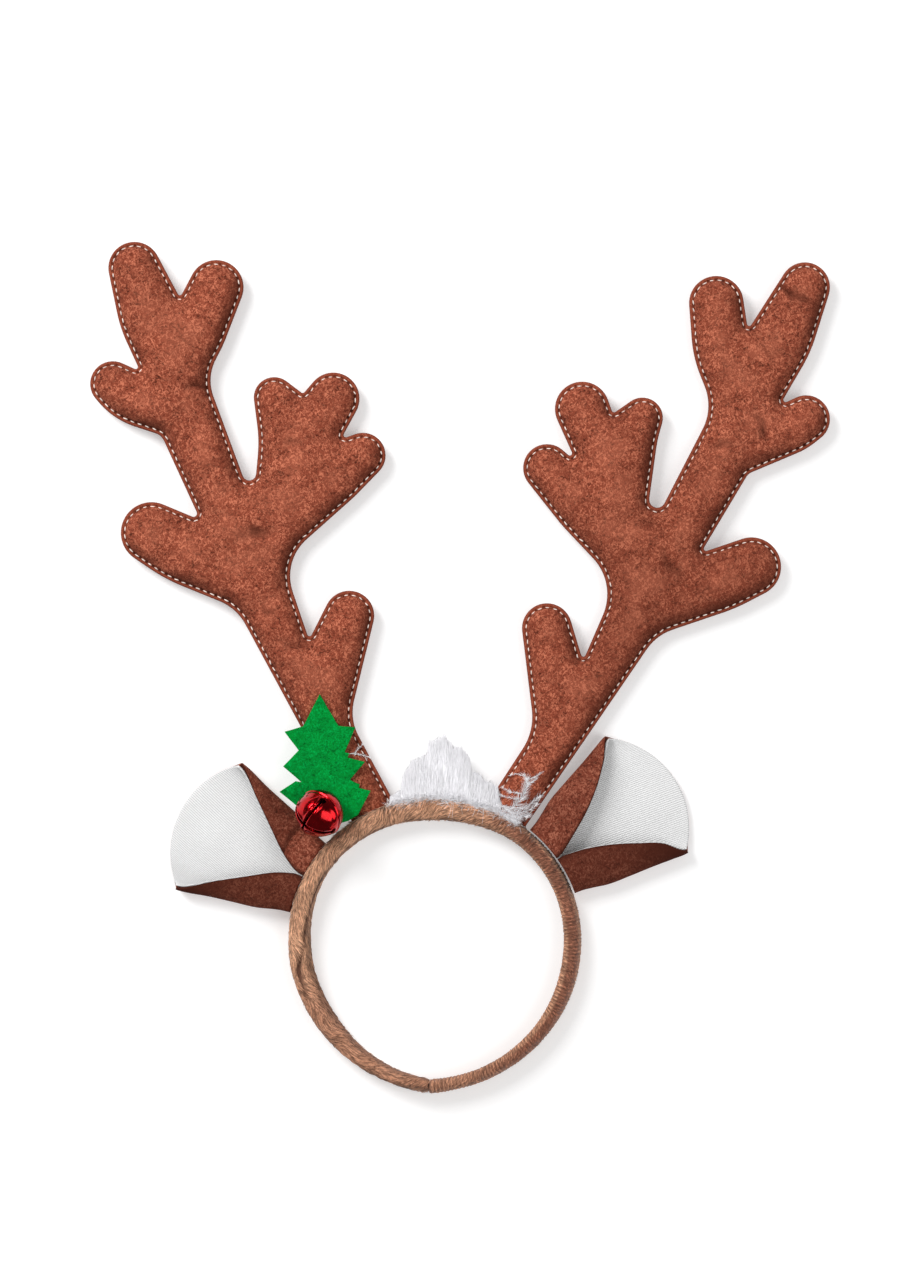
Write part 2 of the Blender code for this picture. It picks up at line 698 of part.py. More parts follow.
def make_slot_cutters(group):
    """Two slabs that cross at the pole, and a round hole at each end of them."""
    low = BELL_RADIUS * math.cos(SLOT_REACH)
    high = BELL_RADIUS + SLOT_CLEARANCE
    for i in range(2):
        shape = bmesh.new()
        bmesh.ops.create_cube(shape, size=1.0)
        bmesh.ops.scale(shape, verts=shape.verts, vec=(2.0 * high, SLOT_WIDTH, high - low))
        bmesh.ops.translate(shape, verts=shape.verts, vec=(0.0, 0.0, 0.5 * (high + low)))
        bmesh.ops.rotate(shape, verts=shape.verts, cent=(0, 0, 0),
                         matrix=Matrix.Rotation(0.5 * math.pi * i, 3, "Z"))
        slab = add_cutter("slot_slab", to_mesh(shape, "slot_slab"), group)
        slab.matrix_world = bell_matrix()
    for i in range(4):
        shape = bmesh.new()
        bmesh.ops.create_cone(shape, cap_ends=True, segments=12, radius1=SLOT_HOLE,
                              radius2=SLOT_HOLE, depth=SLOT_HOLE_DEPTH)
        bmesh.ops.translate(shape, verts=shape.verts, vec=(0.0, 0.0, BELL_RADIUS))
        bmesh.ops.rotate(shape, verts=shape.verts, cent=(0, 0, 0),
                         matrix=Matrix.Rotation(SLOT_REACH, 3, "Y"))
        bmesh.ops.rotate(shape, verts=shape.verts, cent=(0, 0, 0),
                         matrix=Matrix.Rotation(0.5 * math.pi * i, 3, "Z"))
        hole = add_cutter("slot_hole", to_mesh(shape, "slot_hole"), group)
        hole.matrix_world = bell_matrix()


def make_bell_cap(group, cutter_group):
    """The plain half, with the loop that the thread goes through."""
    inner = BELL_RADIUS - BELL_WALL
    seam = BELL_SEAM + GAP / BELL_RADIUS
    profile = arc_points(BELL_RADIUS, seam, math.pi)
    profile += arc_points(inner, math.pi, seam)
    half = len(profile) // 2
    profile[half - 1] = (0.0, -BELL_RADIUS)
    profile[half] = (0.0, -inner)
    part = turned("bell_cap", profile[half:] + profile[:half], "red_metal", group)
    bpy.ops.mesh.primitive_torus_add(major_radius=LOOP_RADIUS, minor_radius=LOOP_WIRE,
                                     major_segments=16, minor_segments=6)
    loop = bpy.context.object
    loop.name = "bell_loop"
    lift = BELL_RADIUS + LOOP_LIFT * LOOP_RADIUS
    stand = Matrix.Translation((0.0, 0.0, -lift)) @ Matrix.Rotation(0.5 * math.pi, 4, "X")
    loop.matrix_world = bell_matrix() @ stand
    loop.hide_render = True
    loop.display_type = "WIRE"
    for holder in list(loop.users_collection):
        holder.objects.unlink(loop)
    cutter_group.objects.link(loop)
    cut(part, loop, "UNION")
    return part


def make_bell_pellet(group):
    """The loose pellet, lying at the lowest place inside."""
    shape = bmesh.new()
    bmesh.ops.create_icosphere(shape, subdivisions=2, radius=PELLET_RADIUS)
    part = add_part("bell_pellet", to_mesh(shape, "bell_pellet"), "steel", group)
    drop = BELL_RADIUS - BELL_WALL - GAP - PELLET_RADIUS
    part.location = bell_centre() - Vector((0.0, 0.0, drop))
    part.data.shade_smooth()
    return part


def main():
    clear_scene()
    parts = new_collection(NAME)
    cutters = new_collection("cutters")
    locks = new_collection("fluff_locks")
    slots = new_collection("bell_slots")
    make_headband(parts)
    seat_cutter = make_seat_cutter(cutters)
    for side, rows in (("left", LEFT_ANTLER), ("right", RIGHT_ANTLER)):
        make_panel("antler_" + side + "_front", rows, 1, parts, seat_cutter)
        make_panel("antler_" + side + "_back", rows, -1, parts, seat_cutter)
    make_ears(parts)
    make_fluff(parts, locks)
    make_tree(parts)
    make_slot_cutters(slots)
    make_bell_bowl(parts, slots)
    make_bell_cap(parts, cutters)
    make_bell_pellet(parts)


main()
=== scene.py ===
"""The looks of the reindeer antler headband: felt, plush, twill, down and a glossy bell.

Laid out as an add-on: each operator makes one piece or one group of like pieces round the
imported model, and the panel in the sidebar lists them with their sizes and colours.
Everything is in metres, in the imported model's own frame: +X to the right, +Y towards the
antlers' tips, +Z up from the floor that the headband lies on.
"""
import math

import bmesh
import bpy
import numpy as np
from mathutils import Matrix, Vector, noise
from mathutils.bvhtree import BVHTree


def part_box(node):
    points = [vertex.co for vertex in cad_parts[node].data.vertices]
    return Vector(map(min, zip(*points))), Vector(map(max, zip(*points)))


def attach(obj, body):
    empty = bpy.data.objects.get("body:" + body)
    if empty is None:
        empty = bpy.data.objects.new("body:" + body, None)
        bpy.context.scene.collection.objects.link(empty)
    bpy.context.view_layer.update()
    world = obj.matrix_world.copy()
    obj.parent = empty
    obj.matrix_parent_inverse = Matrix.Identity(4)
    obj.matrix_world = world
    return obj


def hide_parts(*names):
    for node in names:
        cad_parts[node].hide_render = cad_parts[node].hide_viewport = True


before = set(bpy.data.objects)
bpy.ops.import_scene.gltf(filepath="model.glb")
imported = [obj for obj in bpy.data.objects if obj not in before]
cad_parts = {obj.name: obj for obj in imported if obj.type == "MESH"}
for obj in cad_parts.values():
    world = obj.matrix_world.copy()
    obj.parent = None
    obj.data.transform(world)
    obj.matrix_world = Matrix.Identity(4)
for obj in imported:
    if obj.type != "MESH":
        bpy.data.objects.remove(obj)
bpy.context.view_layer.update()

bl_info = {
    "name": "Reindeer antler headband",
    "version": (1, 0, 0),
    "blender": (4, 5, 0),
    "location": "3D View > Sidebar > Headband",
    "description": "Felt antlers, lined ears, plush band, down, fir tree and bell",
    "category": "Object",
}

MM = 0.001
PIXEL = 0.44 * MM
BODY = "root"

# The hoop that the band follows, and the round face that antlers and ears are seated on
HOOP = Vector((-10.6 * MM, -121.7 * MM, 0.0))
HOOP_FLAT = np.array(HOOP[:2])
SEAT_RADIUS = 65.2 * MM
SEAM_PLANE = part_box("antler_left_front")[0].z

# Each antler's outline is a belt round these circles, in millimetres.
# Turn 1 goes round the outside of a tip, turn -1 round the inside of a notch or a bend.
CIRCLE_COLUMNS = ("name", "x", "y", "radius", "turn")
ANTLERS = {
    "left": (
        ("crown_tip", -143.0, 176.0, 11.5, 1),
        ("crown_side", -90.5, 169.0, 61.5, 1),
        ("brow_notch", -142.5, 132.5, 1.0, -1),
        ("brow_tip", -152.5, 125.0, 10.0, 1),
        ("brow_side", -132.0, 139.5, 35.0, 1),
        ("brow_bend", -135.5, 97.5, 6.0, -1),
        ("low_notch", -117.0, 68.0, 1.5, -1),
        ("low_tip", -135.5, 59.5, 13.5, 1),
        ("low_side", -91.5, 110.0, 80.0, 1),
        ("low_bend", -114.0, 8.5, 22.5, -1),
        ("base_outer", -38.0, -70.0, 7.0, 1),
        ("base_inner", -30.0, -69.5, 6.0, 1),
        ("spur_bend", -25.0, -19.5, 22.0, -1),
        ("spur_tip", -48.5, 23.0, 11.0, 1),
        ("spur_notch", -66.0, 15.0, 1.0, -1),
        ("stem_bend", -53.0, 40.5, 21.5, -1),
        ("palm_side", -95.5, 126.5, 71.0, 1),
        ("palm_low_tip", -42.5, 93.5, 10.0, 1),
        ("palm_low_notch", -50.0, 102.5, 1.0, -1),
        ("palm_mid_tip", -55.5, 118.5, 11.5, 1),
        ("palm_mid_notch", -69.0, 122.0, 1.0, -1),
        ("palm_high_tip", -81.5, 119.0, 9.0, 1),
        ("fork_side", -150.0, 99.0, 61.5, -1),
        ("fork_notch", -92.5, 85.5, 3.0, -1),
        ("fork_bend", -89.5, 126.5, 20.0, -1),
        ("side_side", -150.0, 163.0, 50.5, 1),
        ("side_tip", -107.0, 167.5, 12.0, 1),
        ("crown_notch", -123.0, 165.0, 1.0, -1),
    ),
    "right": (
        ("base_inner", 12.5, -70.0, 6.0, 1),
        ("base_outer", 19.5, -73.0, 6.0, 1),
        ("low_bend", 101.0, -4.5, 22.5, -1),
        ("low_side", 90.0, 100.0, 80.0, 1),
        ("low_tip", 128.5, 44.5, 13.0, 1),
        ("low_notch", 108.5, 52.5, 1.0, -1),
        ("brow_bend", 130.5, 81.5, 5.0, -1),
        ("brow_side", 136.0, 124.5, 32.5, 1),
        ("brow_tip", 152.5, 109.5, 10.5, 1),
        ("brow_notch", 143.5, 118.0, 1.0, -1),
        ("crown_side", 96.0, 164.5, 63.5, 1),
        ("crown_tip", 152.0, 167.5, 11.0, 1),
        ("crown_notch", 127.5, 151.5, 1.0, -1),
        ("side_tip", 113.0, 160.5, 12.0, 1),
        ("side_side", 156.0, 149.0, 54.0, 1),
        ("fork_bend", 87.0, 115.5, 22.5, -1),
        ("fork_notch", 87.0, 74.0, 3.5, -1),
        ("fork_side", 143.5, 88.5, 57.5, -1),
        ("palm_high_tip", 80.5, 110.0, 9.0, 1),
        ("palm_mid_notch", 68.0, 113.5, 1.0, -1),
        ("palm_mid_tip", 54.0, 114.0, 12.0, 1),
        ("palm_low_notch", 48.5, 94.5, 1.0, -1),
        ("palm_low_tip", 38.5, 88.0, 10.5, 1),
        ("palm_side", 99.5, 110.0, 72.0, 1),
        ("stem_bend", 42.0, 32.5, 23.0, -1),
        ("spur_notch", 54.5, 6.0, 1.0, -1),
        ("spur_tip", 38.5, 17.5, 11.0, 1),
        ("spur_bend", 6.5, -21.5, 25.5, -1),
    ),
}

# Creases pressed into the felt's front: both ends, how deep and how wide, in millimetres
CREASE_COLUMNS = ("name", "x0", "y0", "x1", "y1", "depth", "width")
CREASES = {
    "left": (
        ("neck", -121.0, 123.5, -110.5, 124.0, 0.9, 1.6),
        ("palm_nick", -77.0, 98.0, -70.0, 99.5, 0.7, 1.2),
        ("middle_low", -97.0, 57.5, -82.0, 60.5, 0.7, 2.6),
        ("middle_high", -93.0, 63.0, -84.5, 57.0, 0.5, 1.8),
        ("stem", -86.0, 25.5, -81.0, 23.0, 0.6, 1.4),
        ("spur_root", -80.0, 12.0, -66.0, 9.0, 0.5, 2.4),
    ),
    "right": (
        ("crown", 138.5, 168.0, 152.0, 161.5, 1.0, 1.5),
        ("crown_end", 150.0, 161.5, 159.0, 158.5, 0.6, 1.2),
        ("fork", 133.0, 139.5, 139.5, 136.5, 0.6, 1.2),
        ("neck", 111.0, 97.0, 121.0, 98.5, 0.7, 1.5),
        ("brow_root", 131.0, 111.0, 135.0, 100.0, 0.8, 1.6),
        ("low_root", 93.0, 45.0, 99.0, 38.0, 0.5, 2.0),
        ("low_fold", 89.0, 52.0, 93.0, 40.5, 0.5, 1.8),
        ("palm", 79.0, 66.0, 88.0, 61.0, 0.4, 2.2),
    ),
}

# The band's sections by angle round the hoop, in degrees and millimetres:
# lean is how much further out the front edge stands
BAND_COLUMNS = ("name", "angle", "outer", "thick", "lean")
BAND_ROWS = (
    ("right_tip", -93.0, 65.9, 7.0, -0.6),
    ("right_end", -78.0, 64.4, 6.6, -1.2),
    ("right_low", -48.0, 63.4, 6.9, -2.2),
    ("right_side", -12.0, 64.0, 7.9, -2.6),
    ("right_ear", 24.0, 64.8, 7.8, -1.6),
    ("right_antler", 56.0, 64.9, 8.6, 0.6),
    ("crown", 86.0, 64.8, 10.2, 2.4),
    ("left_antler", 116.0, 64.9, 8.8, 2.4),
    ("left_ear", 148.0, 64.9, 8.0, 2.2),
    ("left_side", 182.0, 64.2, 9.2, 2.8),
    ("left_low", 216.0, 62.8, 8.6, 2.6),
    ("left_end", 248.0, 63.4, 6.3, 1.2),
    ("left_tip", 270.0, 65.4, 5.8, 0.4),
)
BAND_POWER = 2.6

# Where the band ends and how long its rounded tips are, in degrees
BAND_ENDS = (-92.9, 266.85)
BAND_TIP = 1.6
TIP_LEAST = 0.001
BAND_STATIONS = 760
BAND_SIDES = 32
BAND_HALVES_MEET = 84.0

# The band's cross ribs and its pile, which lies in locks
RIB_PITCH = 1.7 * MM
RIB_HEIGHT = 0.15 * MM
SEAM_DEPTH = 1.1 * MM
SEAM_LIP = 0.35 * MM
PILE_DEPTH = 0.5 * MM
LOCK_LENGTH = 3.2 * MM
LOCK_WIDTH = 0.75 * MM
LOCK_REACH = 6.0 * MM

# How much of a strand's shading comes from the soft surface that it lies in
SOFT_SHARE = 0.6
FLOOR_GAP = 0.02 * MM

# The padded felt: its rings' insets in millimetres, its mesh and how full it is
ANTLER_RINGS = (0.12, 0.35, 0.7, 1.1, 1.45, 1.8, 2.15, 2.55, 3.1, 4.0, 5.2)
ANTLER_STEP = 1.6 * MM
ANTLER_SHARP = math.radians(65.0)
SEAM_GAP = 0.3 * MM
STITCH_GROOVE = 0.5 * MM
STITCH_SAG = 0.2 * MM
CREASE_GAIN = 2.5

# The way in the picture's plane that the felt's painted shade faces: edges turned this way, away
# from the light, are painted darker
SHADE_WAY = np.array((0.55, -0.84))

# The cloth that is blown up to shape the padding
SHEET_STEP = 2.8 * MM
SHEET_SCALE = 20.0
SHEET_FRAMES = 20
BLOWN_SHARE = 0.55

# The green felt's back, mesh and edge
TREE_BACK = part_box("tree")[0].z
TREE_STEP = 2.5 * MM
TREE_EDGE = 0.28 * MM
TREE_SHARP = math.radians(60.0)

# Ears: out is the distance from the hoop's middle, half_width the fold's, upper and lower
# the raw edges' distance from the ear's middle line, in millimetres
EAR_COLUMNS = ("name", "out", "half_width", "upper", "lower")
EAR_SECTIONS = {
    "left": (
        ("seat", 62.0, 15.2, 0.0, 0.0),
        ("mouth", 67.6, 16.6, 0.3, 0.3),
        ("apex", 71.5, 18.0, 1.5, 1.5),
        ("throat", 78.0, 20.6, 5.0, 4.8),
        ("middle", 88.0, 23.2, 12.4, 12.0),
        ("flare", 98.0, 25.8, 19.9, 19.3),
        ("corner", 112.6, 30.0, 30.0, 30.0),
        ("rim", 130.0, 30.2, 30.2, 30.2),
    ),
    "right": (
        ("seat", 62.0, 15.2, 0.0, 0.0),
        ("mouth", 67.6, 16.8, 0.6, 0.3),
        ("apex", 71.5, 18.4, 2.0, 1.4),
        ("throat", 78.0, 21.2, 4.9, 3.7),
        ("middle", 88.0, 23.8, 9.8, 8.8),
        ("flare", 98.0, 26.2, 16.4, 15.4),
        ("shoulder", 106.0, 28.4, 23.4, 21.4),
        ("corner", 112.6, 30.0, 30.0, 30.0),
        ("rim", 130.0, 30.2, 30.2, 30.2),
    ),
}
EAR_SPOKES = {"left": (152.4, 0.0), "right": (35.4, 1.5 * MM)}
EAR_FAN_RADIUS = 40.3 * MM
EAR_CORNER = 112.6 * MM
EAR_HALF_CHORD = 30.0 * MM
EAR_HALF_SEAT = 16.0 * MM
EAR_MIDDLE = 6.3 * MM
EAR_HALF_DEPTH = 4.5 * MM
EAR_POWER = 3.0
EAR_SEAM = math.radians(179.85)
EAR_LEAST_LAP = math.radians(97.0)
EAR_GRID = (96, 60)
LINING_INSET = 0.3 * MM

# The ears' soft waves and folds, and the step in the left ear's upper flap
EAR_WAVE = 0.5 * MM
EAR_FOLD = 1.3 * MM
EAR_FOLDS = 8.5
EAR_FOLD_STARTS = {"left": 1.2, "right": 0.3}
FLAP_LINE = 0.27
FLAP_STEP = 0.8 * MM

# A wave pattern of scale 1 repeats at this distance, in metres
WAVE_LENGTH = 0.314

# The bell's place, its pole, the way of its first slot, and angles from its pole
BELL_X = -61.0 * MM
BELL_Y = -63.2 * MM
BELL_GAP = 0.3 * MM
BELL_SEAM = math.radians(99.0)
BOWL_SHARP = math.radians(38.0)
CAP_SHARP = math.radians(40.0)
SLOT_END = 78.0
BELL_POLE = Vector((-0.61, -0.42, 0.67)).normalized()
BELL_SLOT_SIDE = Vector((0.306, 0.655, 0.69))
LOOP_RADIUS = 1.7 * MM
LOOP_WIRE = 0.4 * MM

# The fir tree, in millimetres, clockwise from its top
TREE_COLUMNS = ("name", "x", "y")
TREE_OUTLINE = (
    ("top", -61.3, -11.4),
    ("right_shoulder", -53.1, -25.3),
    ("right_tip_high", -45.6, -25.9),
    ("right_waist_high", -50.3, -36.9),
    ("right_tuft_high", -48.3, -37.4),
    ("right_nick_high", -49.1, -39.2),
    ("right_tip_mid", -41.4, -41.1),
    ("right_waist_low", -48.0, -49.0),
    ("right_tuft_low", -43.7, -51.0),
    ("right_nick_low", -44.2, -52.5),
    ("right_tip_low", -38.9, -53.8),
    ("right_foot", -44.5, -64.4),
    ("foot", -48.8, -67.0),
    ("foot_left", -59.2, -70.0),
    ("left_foot", -72.0, -59.8),
    ("left_tip_low", -78.9, -54.2),
    ("left_waist_low", -71.9, -49.6),
    ("left_inner_low", -69.3, -50.0),
    ("left_tip_mid", -77.3, -43.1),
    ("left_waist_high", -70.5, -36.0),
    ("left_tip_high", -76.7, -27.9),
    ("left_shoulder", -68.5, -25.5),
)

# The tuft's upper outline from left to right, in millimetres
TUFT_COLUMNS = ("name", "x", "y")
TUFT_ROWS = (
    ("left_foot", -30.6, -57.6),
    ("left_low", -25.9, -54.1),
    ("left_step", -24.9, -47.5),
    ("left_rise", -21.3, -40.9),
    ("left_shoulder", -14.3, -37.8),
    ("first_peak", -13.4, -30.8),
    ("dip", -11.2, -31.7),
    ("high_peak", -6.6, -28.6),
    ("right_fall", -2.9, -34.1),
    ("right_ledge", 1.5, -34.8),
    ("right_drop", 4.4, -39.6),
    ("right_low", 5.5, -45.3),
    ("right_step", 9.0, -46.5),
    ("right_tail", 11.2, -49.7),
    ("right_foot", 16.8, -51.9),
    ("right_end", 17.8, -59.0),
)
TUFT_STEPS = 170
TUFT_RINGS = 13
TUFT_MIDDLE = 7.8 * MM
TUFT_LEFT = -29.0 * MM
TUFT_WIDTH = 45.5 * MM
TUFT_RAGS = 1.5 * MM
TUFT_RAG_WIDTH = 1.1 * MM

# Wisps of down that lie over the felt and the band: quill ends, in millimetres
WISP_COLUMNS = ("name", "x0", "y0", "x1", "y1", "bow", "barb")
WISPS = (
    ("base", 14.5, -60.3, 19.5, -60.8, 0.3, 2.0),
    ("stem_low", 18.0, -60.4, 25.3, -66.6, 0.8, 5.5),
    ("stem_up", 21.5, -62.0, 29.4, -51.5, -1.6, 6.0),
    ("stem_tip", 29.4, -53.0, 28.0, -46.4, -0.9, 3.6),
    ("fan_one", 23.0, -62.5, 35.8, -55.4, -1.6, 4.2),
    ("fan_two", 23.5, -63.5, 34.5, -59.4, -1.2, 4.4),
    ("fan_three", 24.0, -64.5, 31.5, -64.6, -0.6, 4.0),
    ("tip_right", 28.6, -48.6, 36.3, -45.4, -1.0, 2.4),
    ("tip_side", 29.4, -51.0, 33.8, -48.4, -0.5, 2.2),
    ("left_one", 27.4, -55.0, 18.2, -51.8, 1.0, 2.4),
    ("left_two", 26.8, -57.0, 16.8, -54.8, 1.0, 2.4),
    ("tip_left", 28.2, -47.6, 21.8, -47.4, -1.0, 1.6),
    ("tree_side", -50.0, -37.8, -39.0, -39.5, 0.8, 2.2),
    ("tree_top", -46.0, -38.5, -41.5, -33.0, 0.8, 1.8),
)
WISP_STEPS = 60

# Single strands of down that lie over the band and the ear, in millimetres
STRAY_COLUMNS = ("name", "x0", "y0", "x1", "y1", "bow")
STRAYS = (
    ("band_one", -3.5, -57.5, -6.5, -68.5, 0.9),
    ("band_two", -2.0, -57.5, -3.0, -69.5, -0.6),
    ("band_three", 7.0, -58.5, 5.5, -65.0, 0.6),
    ("band_four", 10.5, -58.5, 9.5, -70.5, 0.4),
    ("band_five", 13.0, -59.5, 17.5, -66.5, 2.6),
    ("band_six", 20.5, -62.0, 27.0, -72.5, 1.4),
    ("ear_one", 36.5, -66.0, 38.5, -72.5, -1.2),
    ("ear_two", 39.5, -72.0, 44.5, -78.5, 1.6),
    ("ear_three", 44.0, -78.0, 47.0, -88.0, 1.2),
    ("ear_four", 37.0, -63.0, 39.0, -70.0, 0.9),
)
STRAY_STEPS = 16
STRAY_WIDTH = 0.085 * MM

# The short fluff along the band's upper edge: angles round the hoop, in degrees
FLUFF_STRANDS = 2600
FLUFF_ANGLES = (56.0, 109.0)

# The sky's strength where the camera sees it, and how far it is dimmed in mirrors
SKY_SEEN = 0.95
SKY_DIMMED = 0.75
FILL_SHARE = 0.32

# What the lengths and the colours have in common
LENGTH = {"unit": "LENGTH", "precision": 5}
COLOUR = {"size": 4, "subtype": "COLOR", "min": 0.0, "max": 1.0}


class AntlerLook(bpy.types.PropertyGroup):
    rim_width: bpy.props.FloatProperty(
        name="Rim width", description="From the felt's cut edge to the running stitch",
        default=1.8 * MM, **LENGTH)
    felt: bpy.props.FloatProperty(
        name="Felt", description="Thickness of one layer of felt at the rim",
        default=1.2 * MM, **LENGTH)
    front_swell: bpy.props.FloatProperty(
        name="Front swell", description="How far the filling lifts the front over the rim",
        default=5.1 * MM, **LENGTH)
    back_swell: bpy.props.FloatProperty(
        name="Back swell", description="How far the filling pushes the back out",
        default=5.9 * MM, **LENGTH)
    swell_length: bpy.props.FloatProperty(
        name="Swell length", description="How far from the stitch the filling rises",
        default=5.0 * MM, **LENGTH)
    mesh_step: bpy.props.FloatProperty(
        name="Mesh step", description="Spacing of the felt's mesh",
        default=1.35 * MM, **LENGTH)
    colour: bpy.props.FloatVectorProperty(
        name="Felt colour", description="Middle colour of the brown felt",
        default=(0.225, 0.049, 0.0255, 1.0), **COLOUR)
    fleck: bpy.props.FloatVectorProperty(
        name="Light flecks", description="Colour of the pale fibres in the felt",
        default=(0.52, 0.160, 0.090, 1.0), **COLOUR)


class StitchLook(bpy.types.PropertyGroup):
    pitch: bpy.props.FloatProperty(
        name="Pitch", description="From one running stitch to the next",
        default=3.4 * MM, **LENGTH)
    length: bpy.props.FloatProperty(
        name="Length", description="Length of thread that shows in one stitch",
        default=2.15 * MM, **LENGTH)
    thread: bpy.props.FloatProperty(
        name="Thread", description="Thickness of the sewing thread",
        default=0.62 * MM, **LENGTH)
    colour: bpy.props.FloatVectorProperty(
        name="Thread colour", description="Colour of the sewing thread",
        default=(0.90, 0.76, 0.68, 1.0), **COLOUR)


class BandLook(bpy.types.PropertyGroup):
    depth: bpy.props.FloatProperty(
        name="Depth", description="Front to back of the padded band",
        default=14.2 * MM, **LENGTH)
    middle: bpy.props.FloatProperty(
        name="Middle", description="Height of the band's middle over the floor",
        default=6.3 * MM, **LENGTH)
    pile: bpy.props.FloatProperty(
        name="Pile", description="Length of the plush's strands",
        default=2.4 * MM, **LENGTH)
    strands: bpy.props.IntProperty(
        name="Strands", description="Strands of pile on each half of the band",
        default=19500, min=0)
    light: bpy.props.FloatVectorProperty(
        name="Left plush", description="Colour of the left half's combed plush",
        default=(0.60, 0.330, 0.200, 1.0), **COLOUR)
    dark: bpy.props.FloatVectorProperty(
        name="Right plush", description="Colour of the right half's ribbed plush",
        default=(0.24, 0.094, 0.055, 1.0), **COLOUR)


class EarLook(bpy.types.PropertyGroup):
    felt: bpy.props.FloatProperty(
        name="Felt", description="Thickness of the ear's felt",
        default=1.5 * MM, **LENGTH)
    lining: bpy.props.FloatProperty(
        name="Lining", description="Thickness of the white twill",
        default=0.9 * MM, **LENGTH)
    felt_colour: bpy.props.FloatVectorProperty(
        name="Felt colour", description="Middle colour of the ears' felt",
        default=(0.168, 0.038, 0.021, 1.0), **COLOUR)
    fleck: bpy.props.FloatVectorProperty(
        name="Light flecks", description="Colour of the pale fibres in the felt",
        default=(0.37, 0.125, 0.075, 1.0), **COLOUR)
    lining_colour: bpy.props.FloatVectorProperty(
        name="Lining colour", description="Colour of the twill",
        default=(0.86, 0.86, 0.86, 1.0), **COLOUR)


class DownLook(bpy.types.PropertyGroup):
    strands: bpy.props.IntProperty(
        name="Strands", description="Strands of down in the tuft", default=16000, min=0)
    thickness: bpy.props.FloatProperty(
        name="Thickness", description="Thickness of a strand at its root",
        default=0.13 * MM, **LENGTH)
    colour: bpy.props.FloatVectorProperty(
        name="Colour", description="Colour of the down",
        default=(0.93, 0.92, 0.95, 1.0), **COLOUR)


class TreeLook(bpy.types.PropertyGroup):
    felt: bpy.props.FloatProperty(
        name="Felt", description="Thickness of the green felt",
        default=2.0 * MM, **LENGTH)
    colour: bpy.props.FloatVectorProperty(
        name="Colour", description="Middle colour of the green felt",
        default=(0.0, 0.215, 0.026, 1.0), **COLOUR)
    fleck: bpy.props.FloatVectorProperty(
        name="Light flecks", description="Colour of the pale fibres in the felt",
        default=(0.0, 0.36, 0.065, 1.0), **COLOUR)


class BellLook(bpy.types.PropertyGroup):
    radius: bpy.props.FloatProperty(
        name="Radius", description="Outer radius of the bell",
        default=10.5 * MM, **LENGTH)
    wall: bpy.props.FloatProperty(
        name="Wall", description="Thickness of the pressed metal",
        default=0.6 * MM, **LENGTH)
    slot: bpy.props.FloatProperty(
        name="Slot", description="Width of the crossed slots",
        default=1.1 * MM, **LENGTH)
    hole: bpy.props.FloatProperty(
        name="Hole", description="Radius of the hole at each slot's end",
        default=1.5 * MM, **LENGTH)
    colour: bpy.props.FloatVectorProperty(
        name="Colour", description="Colour of the lacquer",
        default=(0.48, 0.002, 0.006, 1.0), **COLOUR)


class StageLook(bpy.types.PropertyGroup):
    frame_height: bpy.props.FloatProperty(
        name="Frame height", description="Height of the floor that the picture shows",
        default=1280 * PIXEL, **LENGTH)
    lens: bpy.props.FloatProperty(
        name="Lens", description="Focal length in millimetres", default=110.0)
    floor: bpy.props.FloatVectorProperty(
        name="Floor", description="Colour of the floor",
        default=(0.76, 0.76, 0.76, 1.0), **COLOUR)
    sky: bpy.props.FloatProperty(
        name="Sky", description="Strength of the even light from all round", default=0.45)
    key: bpy.props.FloatProperty(
        name="Key", description="Power of the large soft light", default=38.0, unit="POWER")
    glow: bpy.props.FloatProperty(
        name="Floor glow", description="Light that the lit table gives off", default=0.32)


def look():
    return bpy.context.scene.headband_look


def named_rows(columns, rows):
    return [dict(zip(columns, row)) for row in rows]


def read_smooth(rows, key, column, at):
    """Read a column of the rows at a place between them, along a smooth curve."""
    places = [row[key] for row in rows]
    values = [row[column] for row in rows]
    last = len(rows) - 1
    at = min(max(at, places[0]), places[last])
    index = 0
    while index < last - 1 and at > places[index + 1]:
        index += 1

    def slope(i):
        low = max(i - 1, 0)
        high = min(i + 1, last)
        return (values[high] - values[low]) / (places[high] - places[low])

    span = places[index + 1] - places[index]
    t = (at - places[index]) / span
    start = values[index] * (1 + 2 * t) * (1 - t) ** 2
    end = values[index + 1] * t * t * (3 - 2 * t)
    leave = slope(index) * span * t * (1 - t) ** 2
    arrive = slope(index + 1) * span * t * t * (t - 1)
    return start + end + leave + arrive


def ease(value, low, high):
    """0 below low, 1 above high, and a smooth rise between them."""
    t = np.clip((value - low) / (high - low), 0.0, 1.0)
    return t * t * (3.0 - 2.0 * t)


def power_sine(angle, power):
    """A sine whose curve is squarer for a power above 2."""
    wave = np.sin(angle)
    return np.sign(wave) * np.abs(wave) ** (2.0 / power)


def cloud(points, size, seed):
    """Soft noise between about -1 and 1 at each point, with lumps of this size."""
    shift = Vector((seed * 3.7, seed * 1.9, seed * 5.3))
    return np.array([noise.noise(Vector(point) / size + shift) for point in points])


def to_mesh(shape, name):
    mesh = bpy.data.meshes.new(name)
    shape.to_mesh(mesh)
    shape.free()
    return mesh


def mark(mesh, name, values):
    """Give each vertex a number that a material can read."""
    mesh.attributes.new(name, "FLOAT", "POINT").data.foreach_set("value", np.ravel(values))


def add_piece(name, mesh, material, slot_name, *nodes):
    """Put a finished mesh in the scene, riding on the body and standing for CAD nodes."""
    mesh.materials.append(material)
    piece = bpy.data.objects.new(name, mesh)
    bpy.context.scene.collection.objects.link(piece)
    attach(piece, BODY)
    if nodes:
        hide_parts(*nodes)
    return piece


